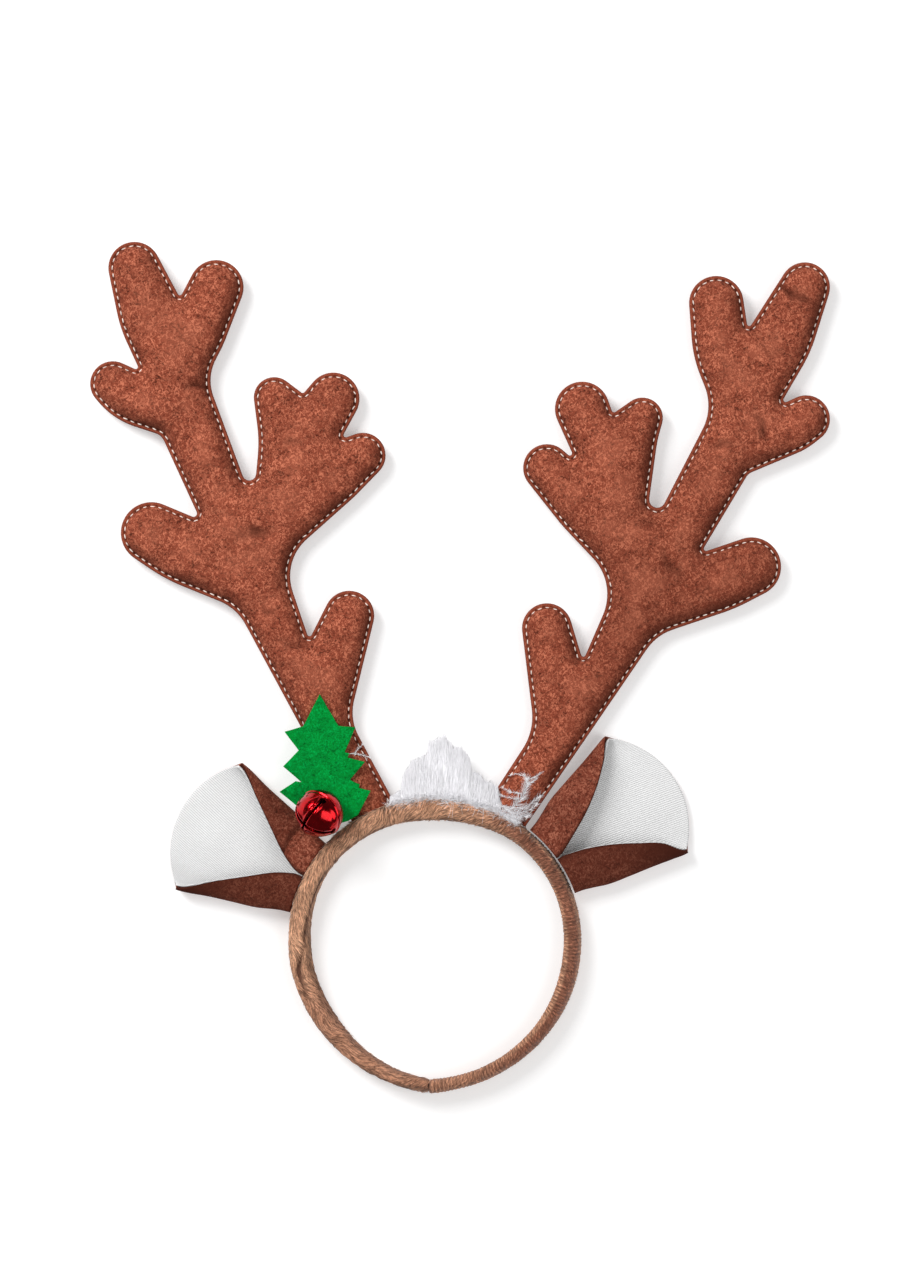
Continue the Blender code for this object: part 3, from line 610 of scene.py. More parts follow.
def draw_on(shape, ring, points, closed=True):
    """Extrude a ring of vertices, or an open line of them, and move the new one in place."""
    ahead = ring[1:] + ring[:1] if closed else ring[1:]
    edges = [shape.edges.get(pair) for pair in zip(ring, ahead)]
    made = bmesh.ops.extrude_edge_only(shape, edges=edges)["geom"]
    fresh = {item for item in made if isinstance(item, bmesh.types.BMVert)}
    after = []
    for vert, point in zip(ring, points):
        twin = next(edge.other_vert(vert) for edge in vert.link_edges
                    if edge.other_vert(vert) in fresh)
        twin.co = point
        after.append(twin)
    return after


def shift_shape(shape, x, y, z):
    bmesh.ops.translate(shape, verts=shape.verts, vec=(x, y, z))


def turn_shape(shape, angle, axis):
    """Turn a shape about an axis through the origin, by an angle in degrees."""
    turn = Matrix.Rotation(math.radians(angle), 3, axis)
    bmesh.ops.rotate(shape, verts=shape.verts, cent=(0, 0, 0), matrix=turn)


def face_outwards(shape):
    """Turn a closed shape's faces outwards, so that its volume is more than 0."""
    bmesh.ops.recalc_face_normals(shape, faces=shape.faces)
    if shape.calc_volume(signed=True) < 0.0:
        bmesh.ops.reverse_faces(shape, faces=shape.faces)


def first_ring(shape, points):
    """A closed ring of vertices and edges through the points."""
    made = bmesh.ops.create_circle(shape, cap_ends=False, segments=len(points), radius=1.0)
    ring = made["verts"]
    for vert, point in zip(ring, points):
        vert.co = point
    return ring


def strand_template(sides=3, cuts=1):
    """A closed spike one unit long on Z, whose rings are cut across."""
    shape = bmesh.new()
    bmesh.ops.create_cone(shape, cap_ends=True, segments=sides, radius1=1.0, radius2=0.0,
                          depth=1.0)
    shift_shape(shape, 0.0, 0.0, 0.5)
    bmesh.ops.remove_doubles(shape, verts=shape.verts, dist=1e-5)
    sides_up = [edge for edge in shape.edges
                if abs(edge.verts[0].co.z - edge.verts[1].co.z) > 0.5]
    bmesh.ops.subdivide_edges(shape, edges=sides_up, cuts=cuts)
    for vert in shape.verts:
        if 0.01 < vert.co.z < 0.99:
            fat = 1.0 + 0.7 * vert.co.z
            vert.co.x *= fat
            vert.co.y *= fat
    face_outwards(shape)
    shape.verts.index_update()
    return shape


def join_copies(name, template, places, **marks):
    """One mesh of many copies of a template. Places holds every vertex of every copy."""
    count, each = places.shape[:2]
    sizes = np.array([len(face.verts) for face in template.faces])
    corners = np.array([vert.index for face in template.faces for vert in face.verts])
    starts = np.cumsum(sizes) - sizes
    copy = np.arange(count)[:, None]
    mesh = bpy.data.meshes.new(name)
    mesh.vertices.add(count * each)
    mesh.vertices.foreach_set("co", places.ravel())
    mesh.loops.add(count * len(corners))
    mesh.loops.foreach_set("vertex_index", (corners + copy * each).ravel())
    mesh.polygons.add(count * len(sizes))
    mesh.polygons.foreach_set("loop_start", (starts + copy * len(corners)).ravel())
    mesh.update(calc_edges=True)
    mesh.shade_smooth()
    for key, values in marks.items():
        mark(mesh, key, np.broadcast_to(values, (count, each)))
    return mesh


def unit(vectors):
    return vectors / np.maximum(np.linalg.norm(vectors, axis=-1, keepdims=True), 1e-12)


def strands(name, roots, ways, bends, lengths, widths, tones, faces=None):
    """Many fine strands: each starts at its root, goes its way and bends aside to its tip.

    With faces, a strand is shaded mostly as the soft surface that it lies in."""
    template = strand_template()
    corners = np.array([vert.co for vert in template.verts])
    along = corners[:, 2][None, :, None]
    side = unit(np.cross(ways, ways[:, [1, 2, 0]] + 0.31))
    across = np.cross(ways, side)
    spine = roots[:, None] + ways[:, None] * lengths[:, None, None] * along
    spine = spine + bends[:, None] * along ** 2
    girth = widths[:, None, None]
    places = spine + side[:, None] * corners[None, :, 0:1] * girth
    places = places + across[:, None] * corners[None, :, 1:2] * girth
    places[:, :, 2] = np.maximum(places[:, :, 2], FLOOR_GAP)
    mesh = join_copies(name, template, places, along=corners[None, :, 2],
                       tone=np.asarray(tones)[:, None])
    template.free()
    if faces is not None:
        own = side[:, None] * corners[None, :, 0:1] + across[:, None] * corners[None, :, 1:2]
        soft = unit(unit(faces)[:, None] * SOFT_SHARE + unit(own) * (1.0 - SOFT_SHARE))
        mesh.normals_split_custom_set_from_vertices(soft.reshape(-1, 3))
    return mesh


def belt_samples(rows, step):
    """Follow the belt round the circles: centre, signed radius and heading of each sample."""
    headings = []
    for here, there in zip(rows, rows[1:] + rows[:1]):
        across = Vector((there["x"] - here["x"], there["y"] - here["y"]))
        rise = there["turn"] * there["radius"] - here["turn"] * here["radius"]
        headings.append(math.atan2(across.y, across.x) - math.asin(rise / across.length))
    samples = []
    for i, row in enumerate(rows):
        first = headings[i - 1]
        sweep = row["turn"] * ((row["turn"] * (headings[i] - first)) % (2.0 * math.pi))
        radius = row["radius"] * MM
        steps = max(5, math.ceil(abs(sweep) * radius / step))
        centre = np.array((row["x"], row["y"])) * MM
        for k in range(steps + 1):
            samples.append((centre, row["turn"] * radius, first + sweep * k / steps))
    even = []
    for here, there in zip(samples, samples[1:] + samples[:1]):
        even.append(here)
        start = belt_point(here, 0.0)
        gap = np.linalg.norm(belt_point(there, 0.0) - start)
        parts = math.ceil(gap / step) if here[2] == there[2] or gap > 2.0 * step else 1
        for k in range(1, parts):
            share = k / parts
            centre = here[0] * (1.0 - share) + there[0] * share
            radius = here[1] * (1.0 - share) + there[1] * share
            even.append((centre, radius, here[2]))
    return even


def belt_point(sample, inset):
    """A sample's place, moved inwards by an inset."""
    centre, radius, heading = sample
    out = np.array((math.sin(heading), -math.cos(heading)))
    return centre + (radius - inset) * out


def belt_ring(samples, inset, trimmed=True):
    """The belt's points at an inset, flat. A trimmed one's foot follows the band's round."""
    points = []
    for sample in samples:
        place = belt_point(sample, inset)
        reach = np.linalg.norm(place - HOOP_FLAT)
        least = SEAT_RADIUS + inset
        if trimmed and reach < least:
            place = HOOP_FLAT + (place - HOOP_FLAT) * least / reach
        points.append(Vector((place[0], place[1], 0.0)))
    return points


def edge_distance(points, outline):
    """Each point's distance from the outline, more than 0 inside it, and the mark along it."""
    points = np.asarray(points)[:, :2]
    start = np.asarray(outline)[:, :2]
    edge = np.roll(start, -1, axis=0) - start
    length = np.maximum(np.linalg.norm(edge, axis=1), 1e-9)
    run = np.cumsum(length) - length
    near = np.full(len(points), 1.0)
    mark_at = np.zeros(len(points))
    crossings = np.zeros(len(points), dtype=int)
    for i in range(len(start)):
        away = points - start[i]
        share = np.clip(away @ edge[i] / length[i] ** 2, 0.0, 1.0)
        gap = np.linalg.norm(away - share[:, None] * edge[i], axis=1)
        closer = gap < near
        near[closer] = gap[closer]
        mark_at[closer] = run[i] + share[closer] * length[i]
        low = start[i, 1]
        high = low + edge[i, 1]
        spans = (points[:, 1] >= min(low, high)) & (points[:, 1] < max(low, high))
        if edge[i, 1] != 0.0:
            x = start[i, 0] + (points[:, 1] - low) * edge[i, 0] / edge[i, 1]
            crossings += spans & (points[:, 0] < x)
    return np.where(crossings % 2 == 1, near, -near), mark_at


def blown_sheet(outline, sizes):
    """A sheet of cloth, sewn down along the stitching and blown up by Blender's Cloth."""
    points = np.asarray(outline)
    low = points.min(axis=0)
    high = points.max(axis=0)
    cells = np.ceil((high - low) / SHEET_STEP).astype(int)
    shape = bmesh.new()
    bmesh.ops.create_grid(shape, x_segments=int(cells[0]), y_segments=int(cells[1]), size=0.5)
    bmesh.ops.scale(shape, verts=shape.verts, vec=(high[0] - low[0], high[1] - low[1], 1.0))
    bmesh.ops.translate(shape, verts=shape.verts, vec=Vector(0.5 * (low + high)))
    inside = edge_distance([vert.co for vert in shape.verts], outline)[0]
    outer = [vert for vert, depth in zip(shape.verts, inside) if depth < 0.0]
    bmesh.ops.delete(shape, geom=outer, context="VERTS")
    loose = [vert for vert in shape.verts if not vert.link_faces]
    bmesh.ops.delete(shape, geom=loose, context="VERTS")
    inside = edge_distance([vert.co for vert in shape.verts], outline)[0]
    bmesh.ops.scale(shape, verts=shape.verts, vec=(SHEET_SCALE,) * 3)
    sheet = bpy.data.objects.new("sheet", to_mesh(shape, "sheet"))
    bpy.context.scene.collection.objects.link(sheet)
    pinned = sheet.vertex_groups.new(name="sewn")
    held = [i for i, depth in enumerate(inside) if depth < sizes.rim_width + 0.5 * SHEET_STEP]
    pinned.add([int(i) for i in held], 1.0, "ADD")
    cloth = sheet.modifiers.new("cloth", "CLOTH")
    settings = cloth.settings
    settings.quality = 6
    settings.mass = 0.3
    settings.tension_stiffness = 12.0
    settings.compression_stiffness = 12.0
    settings.bending_stiffness = 0.6
    settings.vertex_group_mass = "sewn"
    settings.use_pressure = True
    settings.uniform_pressure_force = 4.0
    settings.shrink_min = -0.04
    settings.effector_weights.gravity = 0.0
    scene = bpy.context.scene
    for step in range(1, SHEET_FRAMES + 1):
        scene.frame_set(step)
    blown = sheet.evaluated_get(bpy.context.evaluated_depsgraph_get()).to_mesh()
    corners = [vert.co / SHEET_SCALE for vert in blown.vertices]
    faces = [tuple(polygon.vertices) for polygon in blown.polygons]
    tree = BVHTree.FromPolygons(corners, faces)
    top = max(abs(corner.z) for corner in corners)
    bpy.data.objects.remove(sheet, do_unlink=True)
    scene.frame_set(1)
    return tree, top


def sheet_heights(points, tree, top):
    """The blown sheet's height over each point, as a share of its highest point."""
    heights = []
    for point in points:
        hit = tree.ray_cast(Vector((point[0], point[1], 1.0)), Vector((0.0, 0.0, -1.0)))[0]
        if hit is None:
            hit = tree.ray_cast(Vector((point[0], point[1], -1.0)), Vector((0.0, 0.0, 1.0)))[0]
        heights.append(0.0 if hit is None else abs(hit.z) / top)
    return np.array(heights)


def crease_depth(points, creases):
    """How deep the pressed creases are at each point."""
    depth = np.zeros(len(points))
    for row in named_rows(CREASE_COLUMNS, creases):
        start = np.array((row["x0"], row["y0"])) * MM
        way = np.array((row["x1"], row["y1"])) * MM - start
        away = points[:, :2] - start
        share = np.clip(away @ way / (way @ way), 0.0, 1.0)
        wave = 0.6 * MM * np.sin(share * 7.0 + row["x0"])
        side = np.array((-way[1], way[0])) / np.linalg.norm(way)
        gap = np.linalg.norm(away - share[:, None] * way - wave[:, None] * side, axis=1)
        valley = np.exp(-(gap / (row["width"] * MM)) ** 2)
        shoulder = np.exp(-((gap / (row["width"] * MM) - 2.2) / 1.1) ** 2)
        fade = 1.0 - 0.6 * np.abs(2.0 * share - 1.0) ** 2
        depth += row["depth"] * MM * (valley - 0.35 * shoulder) * fade
    return depth


def rim_profile(inside, sizes):
    """Height of the sewn rim over the seam: a round cut edge, and a groove at the stitches."""
    edge = np.sqrt(np.clip(1.0 - (1.0 - np.clip(inside / (0.7 * MM), 0.0, 1.0)) ** 2, 0.0, 1.0))
    groove = np.exp(-((inside - sizes.rim_width) / (0.75 * MM)) ** 2)
    return sizes.felt * edge - STITCH_GROOVE * groove


def antler_heights(points, inside, run, sizes, side, swell, creases, blown, seed):
    """Height of the padded felt over the seam at each point."""
    depth = np.maximum(inside - sizes.rim_width, 0.0)
    filled = 1.0 - np.exp(-depth / sizes.swell_length)
    if blown is not None:
        lifted = sheet_heights(points, *blown)
        share = ease(inside, 3.0 * MM, 9.0 * MM)
        filled = (filled * (1.0 - BLOWN_SHARE * share)
                  + (0.25 + 0.75 * lifted) * BLOWN_SHARE * share)
    lumps = cloud(points, 17.0 * MM, seed) * 0.5 * MM
    lumps = lumps + cloud(points, 7.0 * MM, seed + 1) * 0.22 * MM
    fibre = cloud(points, 2.6 * MM, seed + 2) * 0.09 * MM
    pulled = np.cos(2.0 * math.pi * run) * 0.12 * MM
    pulled *= np.exp(-np.abs(inside - sizes.rim_width - 0.9 * MM) / (0.8 * MM))
    inner = ease(inside, sizes.rim_width, 8.0 * MM)
    height = rim_profile(inside, sizes) + swell * filled + inner * lumps + fibre * ease(
        inside, 0.5 * MM, 2.0 * MM) + pulled
    if side > 0:
        height = height - CREASE_GAIN * crease_depth(points, creases) * inner
    reach = np.linalg.norm(points[:, :2] - HOOP_FLAT, axis=1)
    return height * (0.72 + 0.28 * ease(reach - SEAT_RADIUS, 0.0, 16.0 * MM))


def cut_even(shape, faces, low, high, step):
    """Divide faces by planes across X and across Y."""
    for axis in (0, 1):
        count = int((high[axis] - low[axis]) / step)
        for i in range(1, count + 1):
            normal = Vector((0.0, 0.0, 0.0))
            normal[axis] = 1.0
            place = Vector((0.0, 0.0, 0.0))
            place[axis] = low[axis] + (high[axis] - low[axis]) * i / (count + 1)
            edges = {edge for face in faces for edge in face.edges}
            verts = {vert for face in faces for vert in face.verts}
            parts = bmesh.ops.bisect_plane(shape, geom=list(verts) + list(edges) + faces,
                                           dist=1e-6, plane_co=place, plane_no=normal)
            faces = [item for item in parts["geom"] if isinstance(item, bmesh.types.BMFace)]
    return faces


def flat_antler(samples, outline, sizes):
    """An antler's felt, flat: rings that follow the cut edge, and an even grid inside them."""
    shape = bmesh.new()
    ring = first_ring(shape, belt_ring(samples, 0.0))
    for inset in ANTLER_RINGS:
        ring = draw_on(shape, ring, belt_ring(samples, inset * MM))
    middle = shape.faces.new(ring)
    low = [min(point[axis] for point in outline) for axis in (0, 1)]
    high = [max(point[axis] for point in outline) for axis in (0, 1)]
    cut_even(shape, [middle], low, high, sizes.mesh_step)
    bmesh.ops.recalc_face_normals(shape, faces=shape.faces)
    if next(iter(shape.faces)).normal.z < 0.0:
        bmesh.ops.reverse_faces(shape, faces=shape.faces)
    return shape


def make_panel(name, flat, outline, stitch_line, sizes, side, blown, material):
    """One padded felt panel: its swollen face, its cut edge and the flat seam behind it."""
    shape = flat.copy()
    rim = [edge for edge in shape.edges if edge.is_boundary]
    points = np.array([vert.co for vert in shape.verts])
    inside = np.maximum(edge_distance(points, outline)[0], 0.0)
    run = edge_distance(points, stitch_line)[1] / stitch_pitch(stitch_line)
    plane = SEAM_PLANE if side > 0 else SEAM_PLANE - SEAM_GAP
    swell = sizes.front_swell if side > 0 else sizes.back_swell
    label = name.split("_")[1]
    seed = len(name) + side
    heights = antler_heights(points, inside, run, sizes, side, swell, CREASES[label], blown, seed)
    if side < 0:
        heights = np.minimum(heights, plane)
    elif label == "left":
        under_tree = ease(-18.0 * MM - points[:, 1], -4.0 * MM, 6.0 * MM)
        limit = TREE_BACK - 0.2 * MM - plane
        heights = heights - np.maximum(heights - limit, 0.0) * under_tree
    seam_verts = bmesh.ops.extrude_edge_only(shape, edges=rim)["geom"]
    low_ring = [item for item in seam_verts if isinstance(item, bmesh.types.BMVert)]
    for vert, height in zip(shape.verts, heights):
        vert.co.z = plane + side * height
    for vert in low_ring:
        vert.co.z = plane
    low_edges = [item for item in seam_verts if isinstance(item, bmesh.types.BMEdge)
                 and item.is_boundary]
    bmesh.ops.contextual_create(shape, geom=low_edges)
    face_outwards(shape)
    shape.verts.index_update()
    mesh = to_mesh(shape, name)
    mesh.shade_smooth()
    mesh.set_sharp_from_angle(angle=ANTLER_SHARP)
    # Mark how far each edge faces away from the light, for painted shade on that side
    closed, marks = line_runs(np.array(outline))
    at = edge_distance(points, outline)[1]
    out = unit(np.stack([np.interp(at, marks, closed[:, i]) for i in (0, 1)], axis=1)
               - points[:, :2] + 1e-9)
    shade_side = np.clip(0.45 + 0.75 * (out @ SHADE_WAY), 0.0, 1.0)
    # Painted shade in the pressed creases, on the front only
    pressed = crease_depth(points, CREASES[label]) / MM if side > 0 else np.zeros(len(points))
    crease_shade = np.clip(0.9 * pressed, 0.0, 0.75)
    seam_marks = np.zeros(len(mesh.vertices) - len(inside))
    for key, values in (("edge_in", inside / MM), ("edge_run", run), ("shade_side", shade_side),
                        ("crease_shade", crease_shade)):
        mark(mesh, key, np.concatenate((values, seam_marks)))
    piece = add_piece(name + "_felt", mesh, material, "brown_felt", name)


class MakeAntlers(bpy.types.Operator):
    """Make both antlers: two padded panels of brown felt each, and their running stitch."""
    bl_idname = "headband.make_antlers"
    bl_label = "Antlers"

    def execute(self, context):
        sizes = look().antler
        material = felt_material("brown_felt", sizes.colour, sizes.fleck, stitched=True)
        thread = thread_material()
        for label, rows in ANTLERS.items():
            samples = belt_samples(named_rows(CIRCLE_COLUMNS, rows), ANTLER_STEP)
            outline = belt_ring(samples, 0.0, trimmed=False)
            stitch_line = belt_ring(samples, sizes.rim_width, trimmed=False)
            flat = flat_antler(samples, outline, sizes)
            blown = blown_sheet(outline, sizes)
            for face, side in (("front", 1), ("back", -1)):
                name = "antler_" + label + "_" + face
                make_panel(name, flat, outline, stitch_line, sizes, side, blown, material)
            flat.free()
            make_stitches(label, stitch_line, thread)
        return {"FINISHED"}


def line_runs(line):
    """A closed line's places, with the way run along it at each."""
    closed = np.vstack((line, line[:1]))
    step = np.linalg.norm(np.diff(closed, axis=0), axis=1)
    return closed, np.concatenate(((0.0,), np.cumsum(step)))


def stitch_pitch(line):
    """The pitch that fits a whole number of stitches round the line."""
    total = line_runs(np.array(line))[1][-1]
    return total / round(total / look().stitch.pitch)


def make_stitches(label, line, material):
    """The running stitch, on both faces: one small capsule of thread for each stitch."""
    sizes = look().stitch
    antler = look().antler
    closed, marks = line_runs(np.array(line))
    pitch = stitch_pitch(line)
    count = round(marks[-1] / pitch)
    rng = np.random.default_rng(41 if label == "left" else 42)
    at = (np.arange(count) + 0.5) * pitch
    middle = np.stack([np.interp(at, marks, closed[:, i]) for i in range(3)], axis=1)
    ahead = np.stack([np.interp(at + 0.4 * MM, marks, closed[:, i]) for i in range(3)], axis=1)
    way = unit(ahead - middle)
    away = np.linalg.norm(middle[:, :2] - HOOP_FLAT, axis=1)
    seen = away > SEAT_RADIUS + 1.2 * MM
    middle = middle[seen]
    way = way[seen]
    count = len(middle)
    template = bmesh.new()
    bmesh.ops.create_uvsphere(template, u_segments=6, v_segments=5, radius=1.0)
    template.verts.index_update()
    corners = np.array([vert.co for vert in template.verts])
    turn = rng.normal(0.0, 0.10, count)
    cos = np.cos(turn)[:, None]
    sin = np.sin(turn)[:, None]
    along = way * cos + np.stack((-way[:, 1], way[:, 0], way[:, 2]), axis=1) * sin
    side = np.stack((-along[:, 1], along[:, 0], np.zeros(count)), axis=1)
    half = 0.5 * sizes.length * rng.uniform(0.85, 1.1, count)
    both = []
    tones = []
    for face in (1, -1):
        plane = SEAM_PLANE if face > 0 else SEAM_PLANE - SEAM_GAP
        height = plane + face * (antler.felt - STITCH_GROOVE + 0.32 * sizes.thread)
        places = middle[:, None] + along[:, None] * corners[None, :, 2:3] * half[:, None, None]
        places = places + side[:, None] * corners[None, :, 0:1] * face * 0.5 * sizes.thread
        lift = corners[None, :, 1] * 0.45 * sizes.thread
        dip = -0.25 * MM * (corners[None, :, 2] ** 4)
        places[:, :, 2] = height + face * (lift + dip)
        places[:, :, 1] -= STITCH_SAG
        both.append(places)
        tones.append(rng.uniform(0.0, 1.0, count))
    mesh = join_copies("stitches_" + label, template, np.concatenate(both),
                       tone=np.concatenate(tones)[:, None])
    template.free()
    add_piece("stitches_" + label, mesh, material, "white_cloth")


def put(tree, kind, inputs=None, **settings):
    """Add a node, and set or join its inputs."""
    node = tree.nodes.new(kind)
    for name, value in settings.items():
        setattr(node, name, value)
    for key, value in (inputs or {}).items():
        socket = node.inputs[key]
        if isinstance(value, bpy.types.NodeSocket):
            tree.links.new(value, socket)
        else:
            socket.default_value = value
    return node


def calc(tree, operation, first, second=0.0):
    return put(tree, "ShaderNodeMath", {0: first, 1: second}, operation=operation).outputs[0]


def span(tree, value, low, high, to_low=0.0, to_high=1.0):
    """Map a value smoothly from one range to another."""
    return put(tree, "ShaderNodeMapRange", {
        "Value": value, "From Min": low, "From Max": high, "To Min": to_low, "To Max": to_high,
    }, interpolation_type="SMOOTHSTEP").outputs["Result"]


def mix(tree, factor, first, second, blend_type="MIX"):
    """Mix two colours."""
    return put(tree, "ShaderNodeMix", {0: factor, 6: first, 7: second}, data_type="RGBA",
               blend_type=blend_type).outputs[2]


def tint(tree, ground, amount, share, color):
    """Mix a share of a colour over the ground, where the amount is more than 0."""
    return mix(tree, calc(tree, "MULTIPLY", amount, share), ground, color)


def brighten(tree, ground, level):
    """Multiply a colour by a level."""
    grey = put(tree, "ShaderNodeCombineColor", {0: level, 1: level, 2: level}).outputs[0]
    return mix(tree, 1.0, ground, grey, "MULTIPLY")


def grain(tree, vector, scale, detail=2.0, roughness=0.55, distortion=0.0):
    """Noise between 0 and 1. The scale is in lumps to a metre."""
    return put(tree, "ShaderNodeTexNoise", {
        "Vector": vector, "Scale": scale, "Detail": detail, "Roughness": roughness,
        "Distortion": distortion}).outputs[0]


def turned(tree, vector, angle, stretch):
    """The vector turned about Z, so that a pattern is drawn out along one way."""
    return put(tree, "ShaderNodeMapping", {
        "Vector": vector, "Rotation": (0.0, 0.0, math.radians(angle)),
        "Scale": (1.0, 1.0 / stretch, 1.0)}, vector_type="TEXTURE").outputs[0]


def read_mark(tree, name):
    return put(tree, "ShaderNodeAttribute", attribute_name=name).outputs["Fac"]


def place_on(tree):
    return put(tree, "ShaderNodeTexCoord").outputs["Object"]


def new_group(name, inputs, outputs):
    """A node group with named sockets: returns its tree, its input node and its output node."""
    tree = bpy.data.node_groups.new(name, "ShaderNodeTree")
    for key, (kind, value) in inputs.items():
        socket = tree.interface.new_socket(key, in_out="INPUT", socket_type=kind)
        if value is not None:
            socket.default_value = value
    for key, kind in outputs.items():
        tree.interface.new_socket(key, in_out="OUTPUT", socket_type=kind)
    return tree, tree.nodes.new("NodeGroupInput"), tree.nodes.new("NodeGroupOutput")


def use_group(tree, name, inputs):
    node = put(tree, "ShaderNodeGroup", node_tree=bpy.data.node_groups[name])
    for key, value in inputs.items():
        if isinstance(value, bpy.types.NodeSocket):
            tree.links.new(value, node.inputs[key])
        else:
            node.inputs[key].default_value = value
    return node


def new_material(name, **values):
    """A material with one Principled shader, whose plain values are set on it."""
    material = bpy.data.materials.new(name)
    material.use_nodes = True
    shader = material.node_tree.nodes["Principled BSDF"]
    for key, value in values.items():
        shader.inputs[key.replace("_", " ").title().replace("Ior", "IOR")].default_value = value
    return material, material.node_tree, shader


def give(tree, shader, color=None, height=None, distance=0.0, strength=1.0):
    """Join a colour and a height to the shader."""
    if color is not None:
        tree.links.new(color, shader.inputs["Base Color"])
    if height is not None:
        bump = put(tree, "ShaderNodeBump", {
            "Height": height, "Distance": distance, "Strength": strength})
        tree.links.new(bump.outputs["Normal"], shader.inputs["Normal"])


def shade_of(color, factor):
    return tuple(min(value * factor, 1.0) for value in color[:3]) + (1.0,)


def build_fibre_group():
    """Matted fibres of felt: light and dark flecks over a cloudy ground."""
    tree, source, result = new_group("felt fibres", {
        "Vector": ("NodeSocketVector", None),
        "Fibre": ("NodeSocketFloat", 1000.0),
        "Ground": ("NodeSocketColor", (0.3, 0.1, 0.05, 1.0)),
        "Light": ("NodeSocketColor", (0.6, 0.3, 0.2, 1.0)),
        "Dark": ("NodeSocketColor", (0.1, 0.03, 0.02, 1.0)),
        "Flecks": ("NodeSocketFloat", 0.6),
        "Clouds": ("NodeSocketFloat", 0.3),
    }, {"Color": "NodeSocketColor", "Height": "NodeSocketFloat"})
    vector = source.outputs["Vector"]
    fibre = source.outputs["Fibre"]
    first = grain(tree, turned(tree, vector, 25.0, 0.5), fibre, 2.0, 0.55, 1.2)
    second = grain(tree, turned(tree, vector, -50.0, 0.5), fibre, 2.0, 0.55, 1.2)
    third = grain(tree, turned(tree, vector, 80.0, 0.5), calc(tree, "MULTIPLY", fibre, 0.75),
                  3.0, 0.6, 1.4)
    patch = grain(tree, vector, calc(tree, "MULTIPLY", fibre, 0.16), 3.0, 0.6)
    cloudy = grain(tree, vector, calc(tree, "MULTIPLY", fibre, 0.055), 2.0, 0.5)
    flecks = source.outputs["Flecks"]
    light = calc(tree, "MAXIMUM", span(tree, first, 0.52, 0.64), span(tree, second, 0.53, 0.66))
    dark = calc(tree, "MAXIMUM", span(tree, third, 0.48, 0.36), span(tree, second, 0.44, 0.33))
    light = calc(tree, "MULTIPLY", light, span(tree, patch, 0.30, 0.62, 0.45, 1.0))
    dark = calc(tree, "MULTIPLY", dark, span(tree, patch, 0.65, 0.35, 0.45, 1.0))
    color = tint(tree, source.outputs["Ground"], dark, flecks, source.outputs["Dark"])
    color = tint(tree, color, light, flecks, source.outputs["Light"])
    clouds = source.outputs["Clouds"]
    sway = calc(tree, "ADD", calc(tree, "MULTIPLY", cloudy, 0.6),
                calc(tree, "MULTIPLY", patch, 0.4))
    sway = calc(tree, "SUBTRACT", span(tree, sway, 0.32, 0.68), 0.5)
    bright = calc(tree, "ADD", calc(tree, "MULTIPLY", sway, clouds), 1.0)
    tree.links.new(brighten(tree, color, bright), result.inputs["Color"])
    height = calc(tree, "ADD", calc(tree, "ADD", first, second), third)
    tree.links.new(calc(tree, "MULTIPLY", height, 0.333), result.inputs["Height"])


def antler_shades(tree, vector, shade, color, light):
    """The antlers' painted light and shade: painted shadow in the stitch holes, painted shade
    along the edges on the side turned from the light and in the creases, a darker lower part on
    the right antler, painted light on the padded middle that also stands for wear, a lighter line
    on the rim and a darker cut edge.
    """
    inside = read_mark(tree, "edge_in")
    run = read_mark(tree, "edge_run")
    # Painted shadow in the dimples between the stitches, deeper on the side turned from the light
    phase = calc(tree, "ABSOLUTE", calc(tree, "SUBTRACT", calc(tree, "FRACT", run), 0.5))
    off = calc(tree, "ABSOLUTE", calc(tree, "SUBTRACT", inside, look().antler.rim_width / MM))
    hole = calc(tree, "MULTIPLY", span(tree, phase, 0.28, 0.36), span(tree, off, 0.85, 0.50))
    shade_side = read_mark(tree, "shade_side")
    hole = calc(tree, "MULTIPLY", hole, span(tree, shade_side, 0.0, 1.0, 0.45, 0.95))
    shade = mix(tree, hole, shade, shade_of(color, 0.12))
    sway = grain(tree, vector, 70.0, 2.0)
    # Painted shade along the padded edges inside the stitches, strongest on the side turned from
    # the light
    edge_shade = calc(tree, "MULTIPLY", span(tree, inside, 9.0, 1.8),
                span(tree, sway, 0.30, 0.60, 0.3, 1.0))
    edge_shade = calc(tree, "MULTIPLY", edge_shade, span(tree, shade_side, 0.0, 1.0, 0.12, 0.85))
    shade = mix(tree, edge_shade, shade, shade_of(color, 0.34))
    # Painted shade in the creases
    shade = mix(tree, read_mark(tree, "crease_shade"), shade, shade_of(color, 0.22))
    # Darker towards the lower part of the right antler
    split = put(tree, "ShaderNodeSeparateXYZ", {0: vector})
    low = calc(tree, "MULTIPLY", span(tree, split.outputs[0], 20.0 * MM, 90.0 * MM),
               span(tree, split.outputs[1], 110.0 * MM, 10.0 * MM))
    shade = tint(tree, shade, low, 0.34, shade_of(color, 0.34))
    # Painted light on the padded middle, which also stands for felt worn lighter there
    painted_light_and_wear = calc(tree, "MULTIPLY", span(tree, inside, 5.0, 13.0), span(tree, sway, 0.6, 0.38))
    shade = tint(tree, shade, painted_light_and_wear, 0.22, light)
    shade = tint(tree, shade, span(tree, inside, 1.5, 0.9), 0.6, shade_of(color, 1.15))
    return tint(tree, shade, span(tree, inside, 0.7, 0.1), 0.5, shade_of(color, 0.5))


